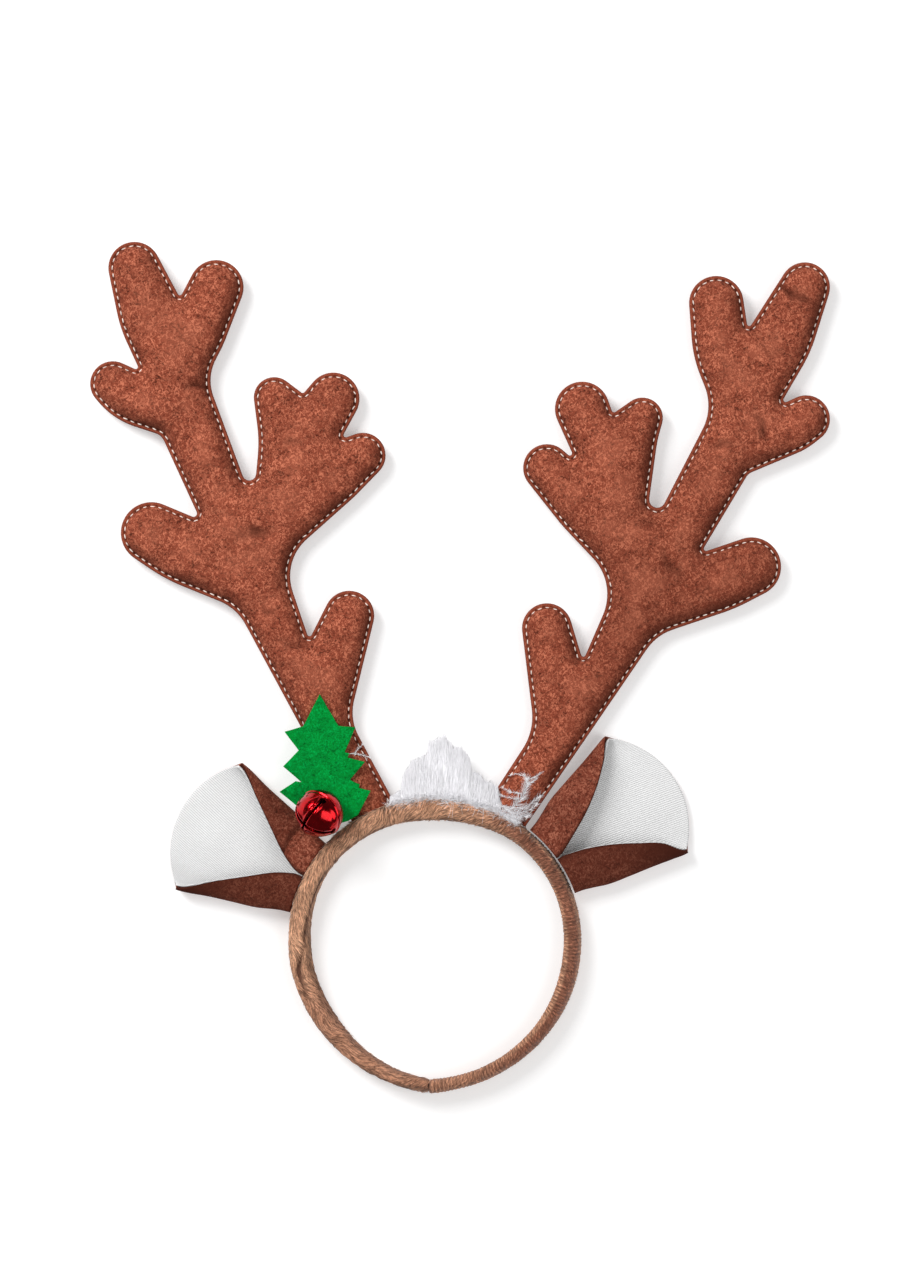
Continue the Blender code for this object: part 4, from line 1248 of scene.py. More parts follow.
def felt_material(name, color, light, stitched=False, shaded=False, fibre=1150.0,
                  flecks=1.0, clouds=0.2):
    """Matted felt. A stitched one gets the antlers' painted light and shade, a shaded one painted
    shade from its shade mark.
    """
    material, tree, shader = new_material(name, roughness=0.95, specular_ior_level=0.04,
                                          sheen_weight=0.015, sheen_roughness=0.6)
    vector = place_on(tree)
    fibres = use_group(tree, "felt fibres", {
        "Vector": vector, "Fibre": fibre, "Ground": color, "Light": light,
        "Dark": shade_of(color, 0.30), "Flecks": flecks, "Clouds": clouds})
    shade = fibres.outputs["Color"]
    if stitched:
        shade = antler_shades(tree, vector, shade, color, light)
    if shaded:
        # Painted shade where the shade mark is high
        shade = mix(tree, read_mark(tree, "shade"), shade, shade_of(color, 0.30))
    give(tree, shader, shade, fibres.outputs["Height"], 0.4 * MM, 0.8)
    return material


def thread_material():
    """Sewing thread: pale, with a tone of its own for each stitch."""
    color = look().stitch.colour
    material, tree, shader = new_material("sewing_thread", roughness=0.7, sheen_weight=0.2)
    tone = read_mark(tree, "tone")
    twist = grain(tree, place_on(tree), 2600.0, 2.0)
    shade = mix(tree, span(tree, tone, 0.1, 0.9), shade_of(color, 0.8), shade_of(color, 1.15))
    shade = mix(tree, span(tree, twist, 0.4, 0.65, 0.0, 0.35), shade, shade_of(color, 0.4))
    give(tree, shader, shade, twist, 0.1 * MM, 0.6)
    return material


def band_place(angle, turn, lift=0.0):
    """Places on the band: arrays of the angle round the hoop and the turn round the section."""
    rows = band_table()
    outer = np.interp(angle, rows["angle"], rows["outer"])
    thick = np.interp(angle, rows["angle"], rows["thick"]) - 2.0 * PILE_DEPTH
    lean = np.interp(angle, rows["angle"], rows["lean"])
    sizes = look().band
    depth = sizes.depth - 2.0 * PILE_DEPTH
    end = np.minimum(angle - BAND_ENDS[0], BAND_ENDS[1] - angle) / BAND_TIP
    share = np.clip(end, 0.0, 1.0)
    round_tip = np.sqrt(np.clip(1.0 - (1.0 - share) ** 2, 0.0, 1.0))
    scale = round_tip * (1.0 - TIP_LEAST) + TIP_LEAST
    across = 0.5 * thick * power_sine(turn + 0.5 * math.pi, BAND_POWER) * scale
    up = 0.5 * depth * power_sine(turn, BAND_POWER) * scale
    normal_x = power_sine(turn + 0.5 * math.pi, 1.4)
    normal_z = power_sine(turn, 1.4)
    radius = outer - PILE_DEPTH - 0.5 * thick + across + lean * up / sizes.depth
    radius = radius + lift * normal_x
    z = np.maximum(sizes.middle + up + lift * normal_z, 0.05 * MM)
    spoke = np.radians(angle)
    return np.stack((HOOP.x + radius * np.cos(spoke), HOOP.y + radius * np.sin(spoke), z),
                    axis=-1)


def band_table():
    """The band's sizes at many angles, in metres, read smoothly between its rows."""
    rows = named_rows(BAND_COLUMNS, BAND_ROWS)
    angles = np.linspace(rows[0]["angle"], rows[-1]["angle"], 243)
    table = {"angle": angles}
    for key in ("outer", "thick", "lean"):
        table[key] = np.array([read_smooth(rows, "angle", key, at) * MM for at in angles])
    return table


def band_seam(angle, turn):
    """How near each place is to the lapped seam, which leaves the inner side on the left."""
    lap = np.interp(angle, (50.0, 90.0, 130.0, 152.0, 166.0, 178.0, 190.0, 204.0),
                    (2.9, 2.95, 2.9, 2.75, 2.6, 2.2, 1.5, 1.3))
    across = np.angle(np.exp(1j * (turn - lap)))
    return across, ease(angle, 40.0, 60.0) * ease(206.0 - angle, 0.0, 14.0)


def band_rib(angle, turn):
    """The cross ribs' wave, and how much of the band they cover."""
    run = np.radians(angle) * SEAT_RADIUS
    wave = np.sin(2.0 * math.pi * run / RIB_PITCH + 1.3 * np.sin(turn))
    return wave, ease(78.0 - angle, 0.0, 30.0)


def band_relief(angle, turn):
    """How far the cover stands in or out: cross ribs on the right, a lapped seam on the left."""
    rib, ribbed = band_rib(angle, turn)
    across, seam = band_seam(angle, turn)
    relief = RIB_HEIGHT * rib * ribbed
    relief -= seam * SEAM_DEPTH * np.exp(-(across / 0.15) ** 2)
    relief += seam * SEAM_LIP * np.exp(-((across + 0.42) / 0.24) ** 2)
    return relief


def band_tones(angle, turn):
    """What the plush's colour reads: painted shade in its seam's groove and on its inner side, and
    its ribs.
    """
    rib, ribbed = band_rib(angle, turn)
    across, seam = band_seam(angle, turn)
    # Painted shade on the band's inner side, added to the seam's painted shade
    inner = ease(-np.cos(turn), 0.55, 0.98)
    shade = 1.3 * seam * np.exp(-(across / 0.20) ** 2) + 0.35 * inner
    return {"seam": np.clip(shade, 0.0, 1.0), "rib": 0.5 + 0.5 * rib * ribbed}


class MakeBand(bpy.types.Operator):
    """Make the padded band's plush cover, its pile and the rounded tips that meet below."""
    bl_idname = "headband.make_band"
    bl_label = "Band"

    def execute(self, context):
        sizes = look().band
        shape = bmesh.new()
        ends = BAND_TIP * (1.0 - np.cos(np.linspace(0.0, 0.5 * math.pi, 9)))
        body = np.linspace(BAND_ENDS[0] + BAND_TIP, BAND_ENDS[1] - BAND_TIP, BAND_STATIONS)
        angles = np.concatenate((BAND_ENDS[0] + ends[:-1], body, BAND_ENDS[1] - ends[:-1][::-1]))
        turn = np.linspace(0.0, 2.0 * math.pi, BAND_SIDES, endpoint=False)
        rings = []
        for angle in angles:
            at = np.full(BAND_SIDES, angle)
            places = band_place(at, turn, band_relief(at, turn))
            rings.append([Vector(place) for place in places])
        ring = first_ring(shape, rings[0])
        shape.faces.new(ring)
        for points in rings[1:]:
            ring = draw_on(shape, ring, points)
        shape.faces.new(ring)
        face_outwards(shape)
        mesh = to_mesh(shape, "band_cover")
        mesh.shade_smooth()
        for key, values in band_tones(np.repeat(angles, BAND_SIDES),
                                      np.tile(turn, len(angles))).items():
            mark(mesh, key, values)
        add_piece("band_cover", mesh, plush_material("band_plush", False), "plush", "headband")
        pile = plush_material("band_pile", True)
        for label, low, high, seed in (("left", BAND_HALVES_MEET, BAND_ENDS[1], 7),
                                       ("right", BAND_ENDS[0], BAND_HALVES_MEET, 8)):
            mesh = band_pile("pile_" + label, low, high, sizes, seed)
            add_piece("pile_" + label, mesh, pile, "plush")
        return {"FINISHED"}


def band_pile(name, low, high, sizes, seed):
    """Strands of pile in locks: combed along the band on the left, and round it on the right."""
    rng = np.random.default_rng(seed)
    count = sizes.strands
    angle = rng.uniform(low + 0.3, high - 0.3, count)
    turn = rng.uniform(0.0, 2.0 * math.pi, count)
    root = band_place(angle, turn, band_relief(angle, turn) - 0.1 * MM)
    ahead = unit(band_place(angle + 0.2, turn) - band_place(angle - 0.2, turn))
    around = unit(band_place(angle, turn + 0.02) - band_place(angle, turn - 0.02))
    normal = unit(np.cross(ahead, around))
    ribbed = ease(70.0 - angle, 0.0, 24.0)
    swirl = np.array([noise.noise(Vector(place) * 90.0) for place in root])
    slant = (0.75 - 0.5 * ease(angle, 110.0, 160.0)) * (1.0 - ribbed) + 1.2 * ribbed + 1.1 * swirl
    run = np.radians(angle) * SEAT_RADIUS
    cross = turn * LOCK_REACH
    lock_run = (run * np.cos(slant) + cross * np.sin(slant)) / LOCK_LENGTH
    lock_side = (cross * np.cos(slant) - run * np.sin(slant)) / LOCK_WIDTH
    lock = np.array([noise.noise(Vector((along, aside, float(seed))))
                     for along, aside in zip(lock_run, lock_side)])
    comb = ahead * np.cos(slant)[:, None] + around * np.sin(slant)[:, None]
    rise = rng.uniform(0.15, 0.45, (count, 1)) * (1.0 - 0.4 * ribbed[:, None])
    jitter = rng.normal(0.0, 0.16, (count, 3))
    way = unit(comb + normal * rise + jitter * 0.6)
    outside = ease(np.cos(turn), 0.2, 0.9) * ease(angle, 10.0, 40.0)
    outside = outside * ease(175.0 - angle, 0.0, 20.0)
    length = sizes.pile * rng.uniform(0.7, 1.3, count) * (1.0 - 0.45 * ribbed)
    length *= 1.0 + 0.7 * outside
    bend = (comb * rng.uniform(0.1, 0.5, (count, 1)) - normal * 0.22) * length[:, None]
    reach = root[:, 2] + way[:, 2] * length + bend[:, 2]
    way[reach < 0.1 * MM, 2] = 0.0
    bend[reach < 0.1 * MM, 2] = 0.0
    widths = rng.uniform(0.16, 0.28, count) * MM
    rib = band_rib(angle, turn)[0]
    tone = 0.5 + 1.15 * lock * (1.0 - 0.5 * ribbed) + 0.10 * rib * ribbed
    tone = tone + rng.normal(0.0, 0.16, count)
    mesh = strands(name, root, way, bend, length, widths, np.clip(tone, 0.0, 1.0),
                   faces=normal + 0.9 * comb * lock[:, None] + jitter)
    for key, values in band_tones(angle, turn).items():
        mark(mesh, key, np.repeat(values, len(mesh.vertices) // count))
    return mesh


def plush_material(name, is_pile):
    """The band's plush: light on the left, darker and redder towards the right."""
    sizes = look().band
    material, tree, shader = new_material(name, roughness=0.9, specular_ior_level=0.3,
                                          sheen_weight=0.15, sheen_roughness=0.5)
    vector = place_on(tree)
    shift = put(tree, "ShaderNodeVectorMath", {0: vector, 1: tuple(-HOOP)},
                operation="ADD").outputs[0]
    split = put(tree, "ShaderNodeSeparateXYZ", {0: shift})
    reach = put(tree, "ShaderNodeVectorMath", {0: put(tree, "ShaderNodeCombineXYZ", {
        0: split.outputs[0], 1: split.outputs[1]}).outputs[0]}, operation="LENGTH").outputs[1]
    patch = grain(tree, vector, 150.0, 3.0)
    sway = calc(tree, "MULTIPLY", calc(tree, "SUBTRACT", patch, 0.5), 22.0 * MM)
    right = span(tree, calc(tree, "ADD", split.outputs[0], sway), 8.0 * MM, 42.0 * MM)
    ground = mix(tree, right, tuple(sizes.light), tuple(sizes.dark))
    low = span(tree, calc(tree, "ADD", split.outputs[1], sway), 0.0, -30.0 * MM)
    ground = tint(tree, ground, low, 0.55, shade_of(sizes.dark, 1.15))
    edge = calc(tree, "ABSOLUTE", calc(tree, "SUBTRACT", reach, 60.6 * MM))
    pale = calc(tree, "MULTIPLY", span(tree, edge, 1.7 * MM, 3.0 * MM), right)
    ground = tint(tree, ground, pale, 0.6, shade_of(sizes.light, 0.85))
    fleck = grain(tree, vector, 900.0, 3.0, 0.6, 0.8)
    dark = span(tree, fleck, 0.48, 0.34)
    ground = tint(tree, ground, dark, 0.45, shade_of(sizes.dark, 0.6))
    # Painted shade from the seam mark: in the seam's groove and on the band's inner side
    ground = tint(tree, ground, read_mark(tree, "seam"), 0.95, shade_of(sizes.dark, 0.28))
    rib = span(tree, read_mark(tree, "rib"), 0.7, 0.15, 0.0, 0.45)
    ground = mix(tree, rib, ground, shade_of(sizes.dark, 0.5))
    if is_pile:
        tone = read_mark(tree, "tone")
        # Strands lighter towards their tips: painted shade towards the roots
        along = read_mark(tree, "along")
        bright = calc(tree, "ADD", span(tree, tone, 0.08, 0.92, 0.42, 1.75),
                      calc(tree, "MULTIPLY", along, 0.30))
        give(tree, shader, brighten(tree, ground, bright))
    else:
        # The cover under the pile painted darker: painted shade between the strands
        ground = mix(tree, 0.35, ground, shade_of(sizes.dark, 0.7))
        give(tree, shader, ground, fleck, 0.5 * MM, 0.8)
    return material


def ear_place(label, u, v, inset):
    """Places on an ear's scoop. U runs out from the band, v across it from edge to edge."""
    spoke, shift = EAR_SPOKES[label]
    rows = named_rows(EAR_COLUMNS, EAR_SECTIONS[label])
    outs = np.linspace(rows[0]["out"], rows[-1]["out"], 200)
    read = {key: np.array([read_smooth(rows, "out", key, at) for at in outs])
            for key in ("half_width", "upper", "lower")}
    way = np.array((math.cos(math.radians(spoke)), math.sin(math.radians(spoke))))
    side = np.array((-way[1], way[0]))
    upwards = ear_upwards(label)
    edge_out = (SEAT_RADIUS + u * (EAR_CORNER - SEAT_RADIUS)) / MM
    upper = np.interp(edge_out, outs, read["upper"])
    lower = np.interp(edge_out, outs, read["lower"])
    opened = np.where(v * upwards > 0.0, upper, lower)
    share = np.clip(opened / np.interp(edge_out, outs, read["half_width"]), 0.0, 1.0)
    lap = np.clip(math.pi - np.arcsin(share ** (0.5 * EAR_POWER)), EAR_LEAST_LAP, EAR_SEAM)

    def turn_to(limit):
        reach = np.abs(v)
        fold = math.pi * np.minimum(reach, 0.5)
        past = (limit - 0.5 * math.pi) * np.maximum(2.0 * reach - 1.0, 0.0)
        return np.sign(v) * (fold + past)

    seat_side = EAR_HALF_SEAT * power_sine(turn_to(EAR_SEAM), EAR_POWER)
    start = np.sqrt((SEAT_RADIUS + 0.3 * MM) ** 2 - seat_side ** 2)
    fan_middle = EAR_CORNER - math.sqrt(EAR_FAN_RADIUS ** 2 - EAR_HALF_CHORD ** 2)
    end_side = EAR_HALF_CHORD * power_sine(turn_to(EAR_LEAST_LAP), EAR_POWER)
    end = fan_middle + np.sqrt(EAR_FAN_RADIUS ** 2 - end_side ** 2) + shift + 2.2 * inset
    out = start + u * (end - start)
    half_width = np.interp((out - u * shift) / MM, outs, read["half_width"]) * MM
    angle = turn_to(lap)
    across = (half_width - inset) * power_sine(angle, EAR_POWER)
    up = EAR_MIDDLE - (EAR_HALF_DEPTH - inset) * power_sine(angle + 0.5 * math.pi, EAR_POWER)
    x = HOOP.x + way[0] * out + side[0] * across
    y = HOOP.y + way[1] * out + side[1] * across
    return np.stack((x, y, up), axis=-1)


def ear_upwards(label):
    """Which sign of V lies on the ear's upper side."""
    return 1.0 if math.cos(math.radians(EAR_SPOKES[label][0])) > 0.0 else -1.0


def unrolled(places, u, v):
    """Where each place lies on the flat cloth, by the lengths across the scoop and along it."""
    columns, rows = EAR_GRID
    middle = columns // 2
    order = np.lexsort((np.round(v, 5), np.round(u, 5)))
    table = places[order].reshape(rows + 1, columns + 1, 3)
    step = np.linalg.norm(np.diff(table, axis=1), axis=2)
    length = np.concatenate((np.zeros((rows + 1, 1)), np.cumsum(step, axis=1)), axis=1)
    length = length - length[:, middle:middle + 1]
    rise = np.linalg.norm(np.diff(table[:, middle], axis=0), axis=1)
    height = np.concatenate(((0.0,), np.cumsum(rise)))
    flat = np.zeros((len(v), 2))
    flat[order, 0] = length.ravel()
    flat[order, 1] = np.repeat(height, columns + 1)
    return flat


def make_ear_layer(name, label, inset, thickness, outwards, material, slot_name, node):
    """One layer of an ear, shaped from a grid, and given its thickness by Solidify."""
    shape = bmesh.new()
    columns, rows = EAR_GRID
    bmesh.ops.create_grid(shape, x_segments=columns, y_segments=rows, size=1.0, calc_uvs=True)
    grid = np.array([vert.co for vert in shape.verts])
    v = grid[:, 0]
    u = 0.5 * (grid[:, 1] + 1.0)
    places = ear_place(label, u, v, inset)
    wave = cloud(places * np.array((1.0, 1.0, 0.0)), 16.0 * MM, len(label)) * EAR_WAVE
    fold = np.sin(EAR_FOLDS * v + 0.9 * u + EAR_FOLD_STARTS[label])
    fold *= ease(0.55 - np.abs(v), 0.0, 0.2)
    wave += EAR_FOLD * fold
    places[:, 2] += wave * ease(u, 0.1, 0.5) * ease(1.0 - u, -0.25, 0.35)
    above = v * ear_upwards(label)
    flap = ease(np.abs(v), 0.47, 0.53)
    if label == "left":
        line = FLAP_LINE + 0.02 * np.sin(9.0 * above) - u
        step_down = ease(line, -0.015, 0.015) * ease(above, 0.55, 0.65)
        places[:, 2] -= FLAP_STEP * step_down * (1.0 - ease(u, 0.5, 0.6))
        # Painted shade on the left ear's upper flap: its outer part darker, with a dark line along
        # the step
        upper_flap_shade = 0.42 - 0.42 * step_down + 0.5 * np.exp(-(line / 0.02) ** 2)
    else:
        upper_flap_shade = np.full(len(v), 0.12)
    places[:, 2] = np.maximum(places[:, 2], EAR_MIDDLE - EAR_HALF_DEPTH + inset - 0.2 * MM)
    # Painted shade on the lower flap, darkest towards its tip, and a little on the right ear's
    # upper flap
    tone = np.where(above > 0.0, upper_flap_shade, 0.62 + 0.38 * ease(u, 0.35, 0.95)) * flap
    # A dark line of painted shade along the raw edges
    tone = np.maximum(tone, ease(np.abs(v), 0.975, 1.0))
    if outwards < 0.0:
        # On the lining, painted shade in the folds' valleys and next to the flaps' edges
        tone = ease(-fold, 0.2, 1.0) * ease(u, 0.1, 0.4) + 0.7 * ease(np.abs(v), 0.42, 0.55)
    flat = unrolled(places, u, v)
    for vert, place in zip(shape.verts, places):
        vert.co = place
    layer = shape.loops.layers.uv.active or shape.loops.layers.uv.new("flat")
    shape.verts.index_update()
    for face in shape.faces:
        for corner in face.loops:
            corner[layer].uv = flat[corner.vert.index]
    mesh = to_mesh(shape, name)
    mesh.shade_smooth()
    mark(mesh, "shade", tone)
    piece = add_piece(name, mesh, material, slot_name, node)
    wall = piece.modifiers.new("wall", "SOLIDIFY")
    wall.thickness = thickness
    wall.offset = outwards
    wall.use_even_offset = True
    return piece


class MakeEars(bpy.types.Operator):
    """Make both ears: folded felt outside, and white twill inside."""
    bl_idname = "headband.make_ears"
    bl_label = "Ears"

    def execute(self, context):
        sizes = look().ear
        felt = felt_material("ear_felt", sizes.felt_colour, sizes.fleck, shaded=True)
        twill = twill_material()
        for label in EAR_SPOKES:
            name = "ear_" + label
            make_ear_layer(name + "_outside", label, 0.0, sizes.felt, 1.0, felt,
                           "brown_felt", name + "_felt")
            make_ear_layer(name + "_twill", label, LINING_INSET, sizes.lining, -1.0, twill,
                           "white_cloth", name + "_lining")
        return {"FINISHED"}


def ribs(tree, flat, angle, pitch):
    """Ribs of yarn across an angle, in degrees, between 0 and 1."""
    return put(tree, "ShaderNodeTexWave", {
        "Vector": turned(tree, flat, angle, 1.0), "Scale": WAVE_LENGTH / pitch,
        "Distortion": 0.6, "Detail": 2.0, "Detail Scale": 300.0}).outputs["Fac"]


def twill_material():
    """White cotton twill, whose fine ribs follow the cloth."""
    color = look().ear.lining_colour
    material, tree, shader = new_material("white_twill", roughness=0.8, sheen_weight=0.15)
    flat = put(tree, "ShaderNodeUVMap").outputs[0]
    rib = calc(tree, "MULTIPLY", ribs(tree, flat, 15.0, 0.9 * MM), 0.75)
    yarn = calc(tree, "MULTIPLY", ribs(tree, flat, -75.0, 0.45 * MM), 0.25)
    weave = calc(tree, "ADD", rib, yarn)
    fuzz = grain(tree, place_on(tree), 700.0, 3.0)
    soft = grain(tree, place_on(tree), 60.0, 2.0)
    shade = mix(tree, span(tree, weave, 0.25, 0.75), shade_of(color, 0.74), shade_of(color, 1.06))
    # Painted shade from the shade mark, in the folds and by the flaps' edges
    shade = tint(tree, shade, read_mark(tree, "shade"), 0.16, shade_of(color, 0.5))
    shade = mix(tree, span(tree, fuzz, 0.40, 0.70, 0.0, 0.12), shade, shade_of(color, 0.7))
    shade = mix(tree, span(tree, soft, 0.35, 0.7, 0.0, 0.10), shade, shade_of(color, 0.75))
    give(tree, shader, shade, weave, 0.25 * MM, 0.9)
    return material


def tuft_top(x):
    """The tuft's ragged upper outline at each x."""
    rows = named_rows(TUFT_COLUMNS, TUFT_ROWS)
    smooth = np.interp(x, [row["x"] * MM for row in rows], [row["y"] * MM for row in rows])
    ragged = np.array([noise.noise(Vector((at / TUFT_RAG_WIDTH, 3.0, 0.0))) for at in x])
    return smooth + TUFT_RAGS * ragged


def seat_top(x, radius):
    """The band's outer face at each x, measured up the picture."""
    return HOOP.y + np.sqrt(np.maximum(radius ** 2 - (x - HOOP.x) ** 2, 0.0))


def tuft_depth(x, share):
    """Half the tuft's depth, front to back, at a share of its height."""
    wide = ease(x, -31.0 * MM, -24.0 * MM) * ease(19.0 * MM - x, 0.0, 8.0 * MM)
    return (0.9 + 4.1 * np.sqrt(np.clip(1.0 - share ** 1.6, 0.0, 1.0)) * (0.4 + 0.6 * wide)) * MM


def make_tuft_core(material):
    """The dense heart of the down: rings that follow the tuft's outline."""
    shape = bmesh.new()
    steps = np.linspace(0.0, 1.0, TUFT_STEPS)
    x = TUFT_LEFT + TUFT_WIDTH * steps
    foot = seat_top(x, SEAT_RADIUS - 0.6 * MM)
    tall = np.maximum(tuft_top(x) - foot, 0.6 * MM)
    ring = None
    for k in range(TUFT_RINGS):
        around = math.pi * k / (TUFT_RINGS - 1)
        share = 0.97 * math.sin(around)
        z = TUFT_MIDDLE - np.sign(math.cos(around)) * (tuft_depth(x, share) - 0.5 * MM)
        if k == TUFT_RINGS // 2:
            z = np.full(TUFT_STEPS, TUFT_MIDDLE)
        points = [Vector(place) for place in zip(x, foot + tall * share, z)]
        if ring is None:
            ring = [shape.verts.new(point) for point in points]
            for pair in zip(ring, ring[1:]):
                shape.edges.new(pair)
        else:
            ring = draw_on(shape, ring, points, closed=False)
    bmesh.ops.contextual_create(shape, geom=[edge for edge in shape.edges if edge.is_boundary])
    bmesh.ops.triangulate(shape, faces=[face for face in shape.faces if len(face.verts) > 4])
    face_outwards(shape)
    mesh = to_mesh(shape, "down_core")
    mesh.shade_smooth()
    return add_piece("down_core", mesh, material, "white_fluff", "fluff")


def make_tuft(material, sizes):
    """The tuft's strands: combed up all over it, with a ragged upper edge."""
    rng = np.random.default_rng(11)
    count = sizes.strands
    x = rng.uniform(-30.5 * MM, 18.0 * MM, count)
    foot = seat_top(x, SEAT_RADIUS - 0.4 * MM)
    tall = np.maximum(tuft_top(x) - foot, 1.0 * MM)
    share = rng.uniform(0.0, 0.97, count)
    share[: count // 5] = rng.uniform(0.75, 0.97, count // 5)
    face = rng.choice((-1.0, 1.0), count, p=(0.35, 0.65))
    depth = tuft_depth(x, share) * np.sqrt(rng.uniform(0.25, 1.0, count))
    root = np.stack((x, foot + tall * share * 0.9, TUFT_MIDDLE + face * depth), axis=1)
    lock = np.array([noise.noise(Vector((a / (1.6 * MM), b, c / (14.0 * MM)))) for a, b, c in
                     zip(x, 0.4 * face, root[:, 1])])
    fan = 0.10 * (x - (-6.0 * MM)) / (20.0 * MM)
    way = np.stack((fan + 0.12 * lock + rng.normal(0.0, 0.07, count), np.ones(count),
                    face * rng.uniform(-0.15, 0.10, count)), axis=1)
    way = unit(way)
    length = rng.uniform(3.5, 7.0, count) * MM
    tip_x = x + way[:, 0] * length
    ceiling = tuft_top(tip_x) + 0.6 * MM * rng.normal(0.0, 1.0, count) - root[:, 1]
    length = np.clip(length, 1.2 * MM, np.maximum(ceiling, 1.2 * MM))
    bend = rng.normal(0.0, 0.07, (count, 3)) * length[:, None]
    bend[:, 2] -= face * 0.06 * length
    widths = sizes.thickness * rng.uniform(0.5, 1.0, count)
    soft = np.stack((0.14 * lock, np.full(count, 0.35), face), axis=1)
    mesh = strands("down_tuft", root, way, bend, length, widths,
                   np.clip(0.5 + 0.5 * lock + rng.normal(0.0, 0.2, count), 0.0, 1.0), faces=soft)
    add_piece("down_tuft", mesh, material, "white_fluff")


def surface_under(*names):
    """A reader of the height of the highest of these pieces under a place."""
    trees = []
    for name in names:
        mesh = bpy.data.objects[name].data
        corners = [vert.co.copy() for vert in mesh.vertices]
        trees.append(BVHTree.FromPolygons(corners, [tuple(p.vertices) for p in mesh.polygons]))

    def height(x, y, otherwise):
        best = otherwise
        for tree in trees:
            hit = tree.ray_cast(Vector((x, y, 1.0)), Vector((0.0, 0.0, -1.0)))[0]
            if hit is not None:
                best = max(best, hit.z)
        return best

    return height


def arc_between(row, steps):
    """Places along a bowed line between a row's two ends, in metres."""
    start = np.array((row["x0"], row["y0"])) * MM
    end = np.array((row["x1"], row["y1"])) * MM
    side = np.array((start[1] - end[1], end[0] - start[0])) / np.linalg.norm(end - start)
    share = np.linspace(0.0, 1.0, steps)[:, None]
    return start + (end - start) * share + side * row["bow"] * MM * 4.0 * share * (1.0 - share)


def make_wisps(material):
    """Feathery wisps over the antlers' feet: a bowed quill with barbs on both sides."""
    rng = np.random.default_rng(12)
    height = surface_under("antler_right_front_felt", "antler_left_front_felt", "band_cover")
    threads = []
    last = WISP_STEPS - 1
    for row in named_rows(WISP_COLUMNS, WISPS):
        line = arc_between(row, WISP_STEPS)
        levels = np.array([height(x, y, 9.0 * MM) for x, y in line])
        levels = np.convolve(np.pad(levels, 6, "edge"), np.ones(13) / 13.0, "valid") + 0.35 * MM
        spine = np.column_stack((line, levels))
        step = unit(np.gradient(spine, axis=0))
        for i in range(0, last, 3):
            length = np.linalg.norm(spine[min(i + 4, last)] - spine[i])
            width = 0.17 * MM * (1.0 - 0.7 * i / last)
            threads.append((spine[i], step[i], np.zeros(3), length, width))
        barbs = int(20 * row["barb"])
        at = rng.uniform(2.0, last - 1.0, barbs).astype(int)
        for i in at:
            share = i / last
            side = np.array((-step[i][1], step[i][0], 0.0)) * rng.choice((-1.0, 1.0))
            open_angle = rng.uniform(0.35, 0.95)
            way = step[i] * math.cos(open_angle) + side * math.sin(open_angle)
            way[2] += rng.uniform(-0.02, 0.22)
            length = row["barb"] * MM * rng.uniform(0.4, 1.0) * (1.0 - 0.45 * share)
            bend = (step[i] * rng.uniform(0.1, 0.6) + rng.normal(0.0, 0.2, 3)) * length
            width = rng.uniform(0.05, 0.10) * MM
            threads.append((spine[i], way, bend, length, width))
    roots, ways, bends, lengths, widths = map(np.array, zip(*threads))
    mesh = strands("down_wisps", roots, unit(ways), bends, lengths, widths,
                   rng.uniform(0.4, 1.0, len(threads)))
    add_piece("down_wisps", mesh, material, "white_fluff")


def make_fluff(material):
    """Short curly fluff along the band's upper edge, where the tuft is glued on."""
    rng = np.random.default_rng(13)
    height = surface_under("band_cover", "antler_right_front_felt", "antler_left_front_felt")
    count = FLUFF_STRANDS
    angle = np.radians(rng.uniform(*FLUFF_ANGLES, count))
    radius = SEAT_RADIUS + rng.normal(-0.6, 0.9, count) * MM
    x = HOOP.x + radius * np.cos(angle)
    y = HOOP.y + radius * np.sin(angle)
    level = np.array([height(a, b, 12.2 * MM) for a, b in zip(x, y)])
    root = np.stack((x, y, level + rng.uniform(-0.2, 0.5, count) * MM), axis=1)
    swing = rng.normal(0.0, 0.9, count) + rng.choice((0.0, math.pi), count)
    way = np.stack((np.cos(swing), np.sin(swing), rng.uniform(0.0, 0.5, count)), axis=1)
    length = rng.uniform(1.2, 3.2, count) * MM
    bend = rng.normal(0.0, 0.35, (count, 3)) * length[:, None]
    mesh = strands("down_fluff", root, unit(way), bend, length,
                   rng.uniform(0.08, 0.14, count) * MM, rng.uniform(0.3, 1.0, count))
    add_piece("down_fluff", mesh, material, "white_fluff")


def make_strays(material):
    """Single strands of down that lie across the band and the ear."""
    height = surface_under("band_cover", "antler_right_front_felt")
    threads = []
    for row in named_rows(STRAY_COLUMNS, STRAYS):
        line = arc_between(row, STRAY_STEPS)
        levels = np.array([height(x, y, 6.0 * MM) for x, y in line]) + 0.9 * MM
        spine = np.column_stack((line, levels))
        for here, there in zip(spine, spine[1:]):
            threads.append((here, there - here, np.linalg.norm(there - here) * 1.25))
    roots, ways, lengths = map(np.array, zip(*threads))
    count = len(threads)
    mesh = strands("down_strays", roots, unit(ways), np.zeros((count, 3)), lengths,
                   np.full(count, STRAY_WIDTH), np.full(count, 0.9))
    add_piece("down_strays", mesh, material, "white_fluff")


class MakeDown(bpy.types.Operator):
    """Make the white down: its tuft on the band, and the wisps round the right antler's foot."""
    bl_idname = "headband.make_down"
    bl_label = "Down"

    def execute(self, context):
        sizes = look().down
        material = down_material()
        make_tuft_core(material)
        make_tuft(material, sizes)
        make_wisps(material)
        make_strays(material)
        make_fluff(material)
        return {"FINISHED"}


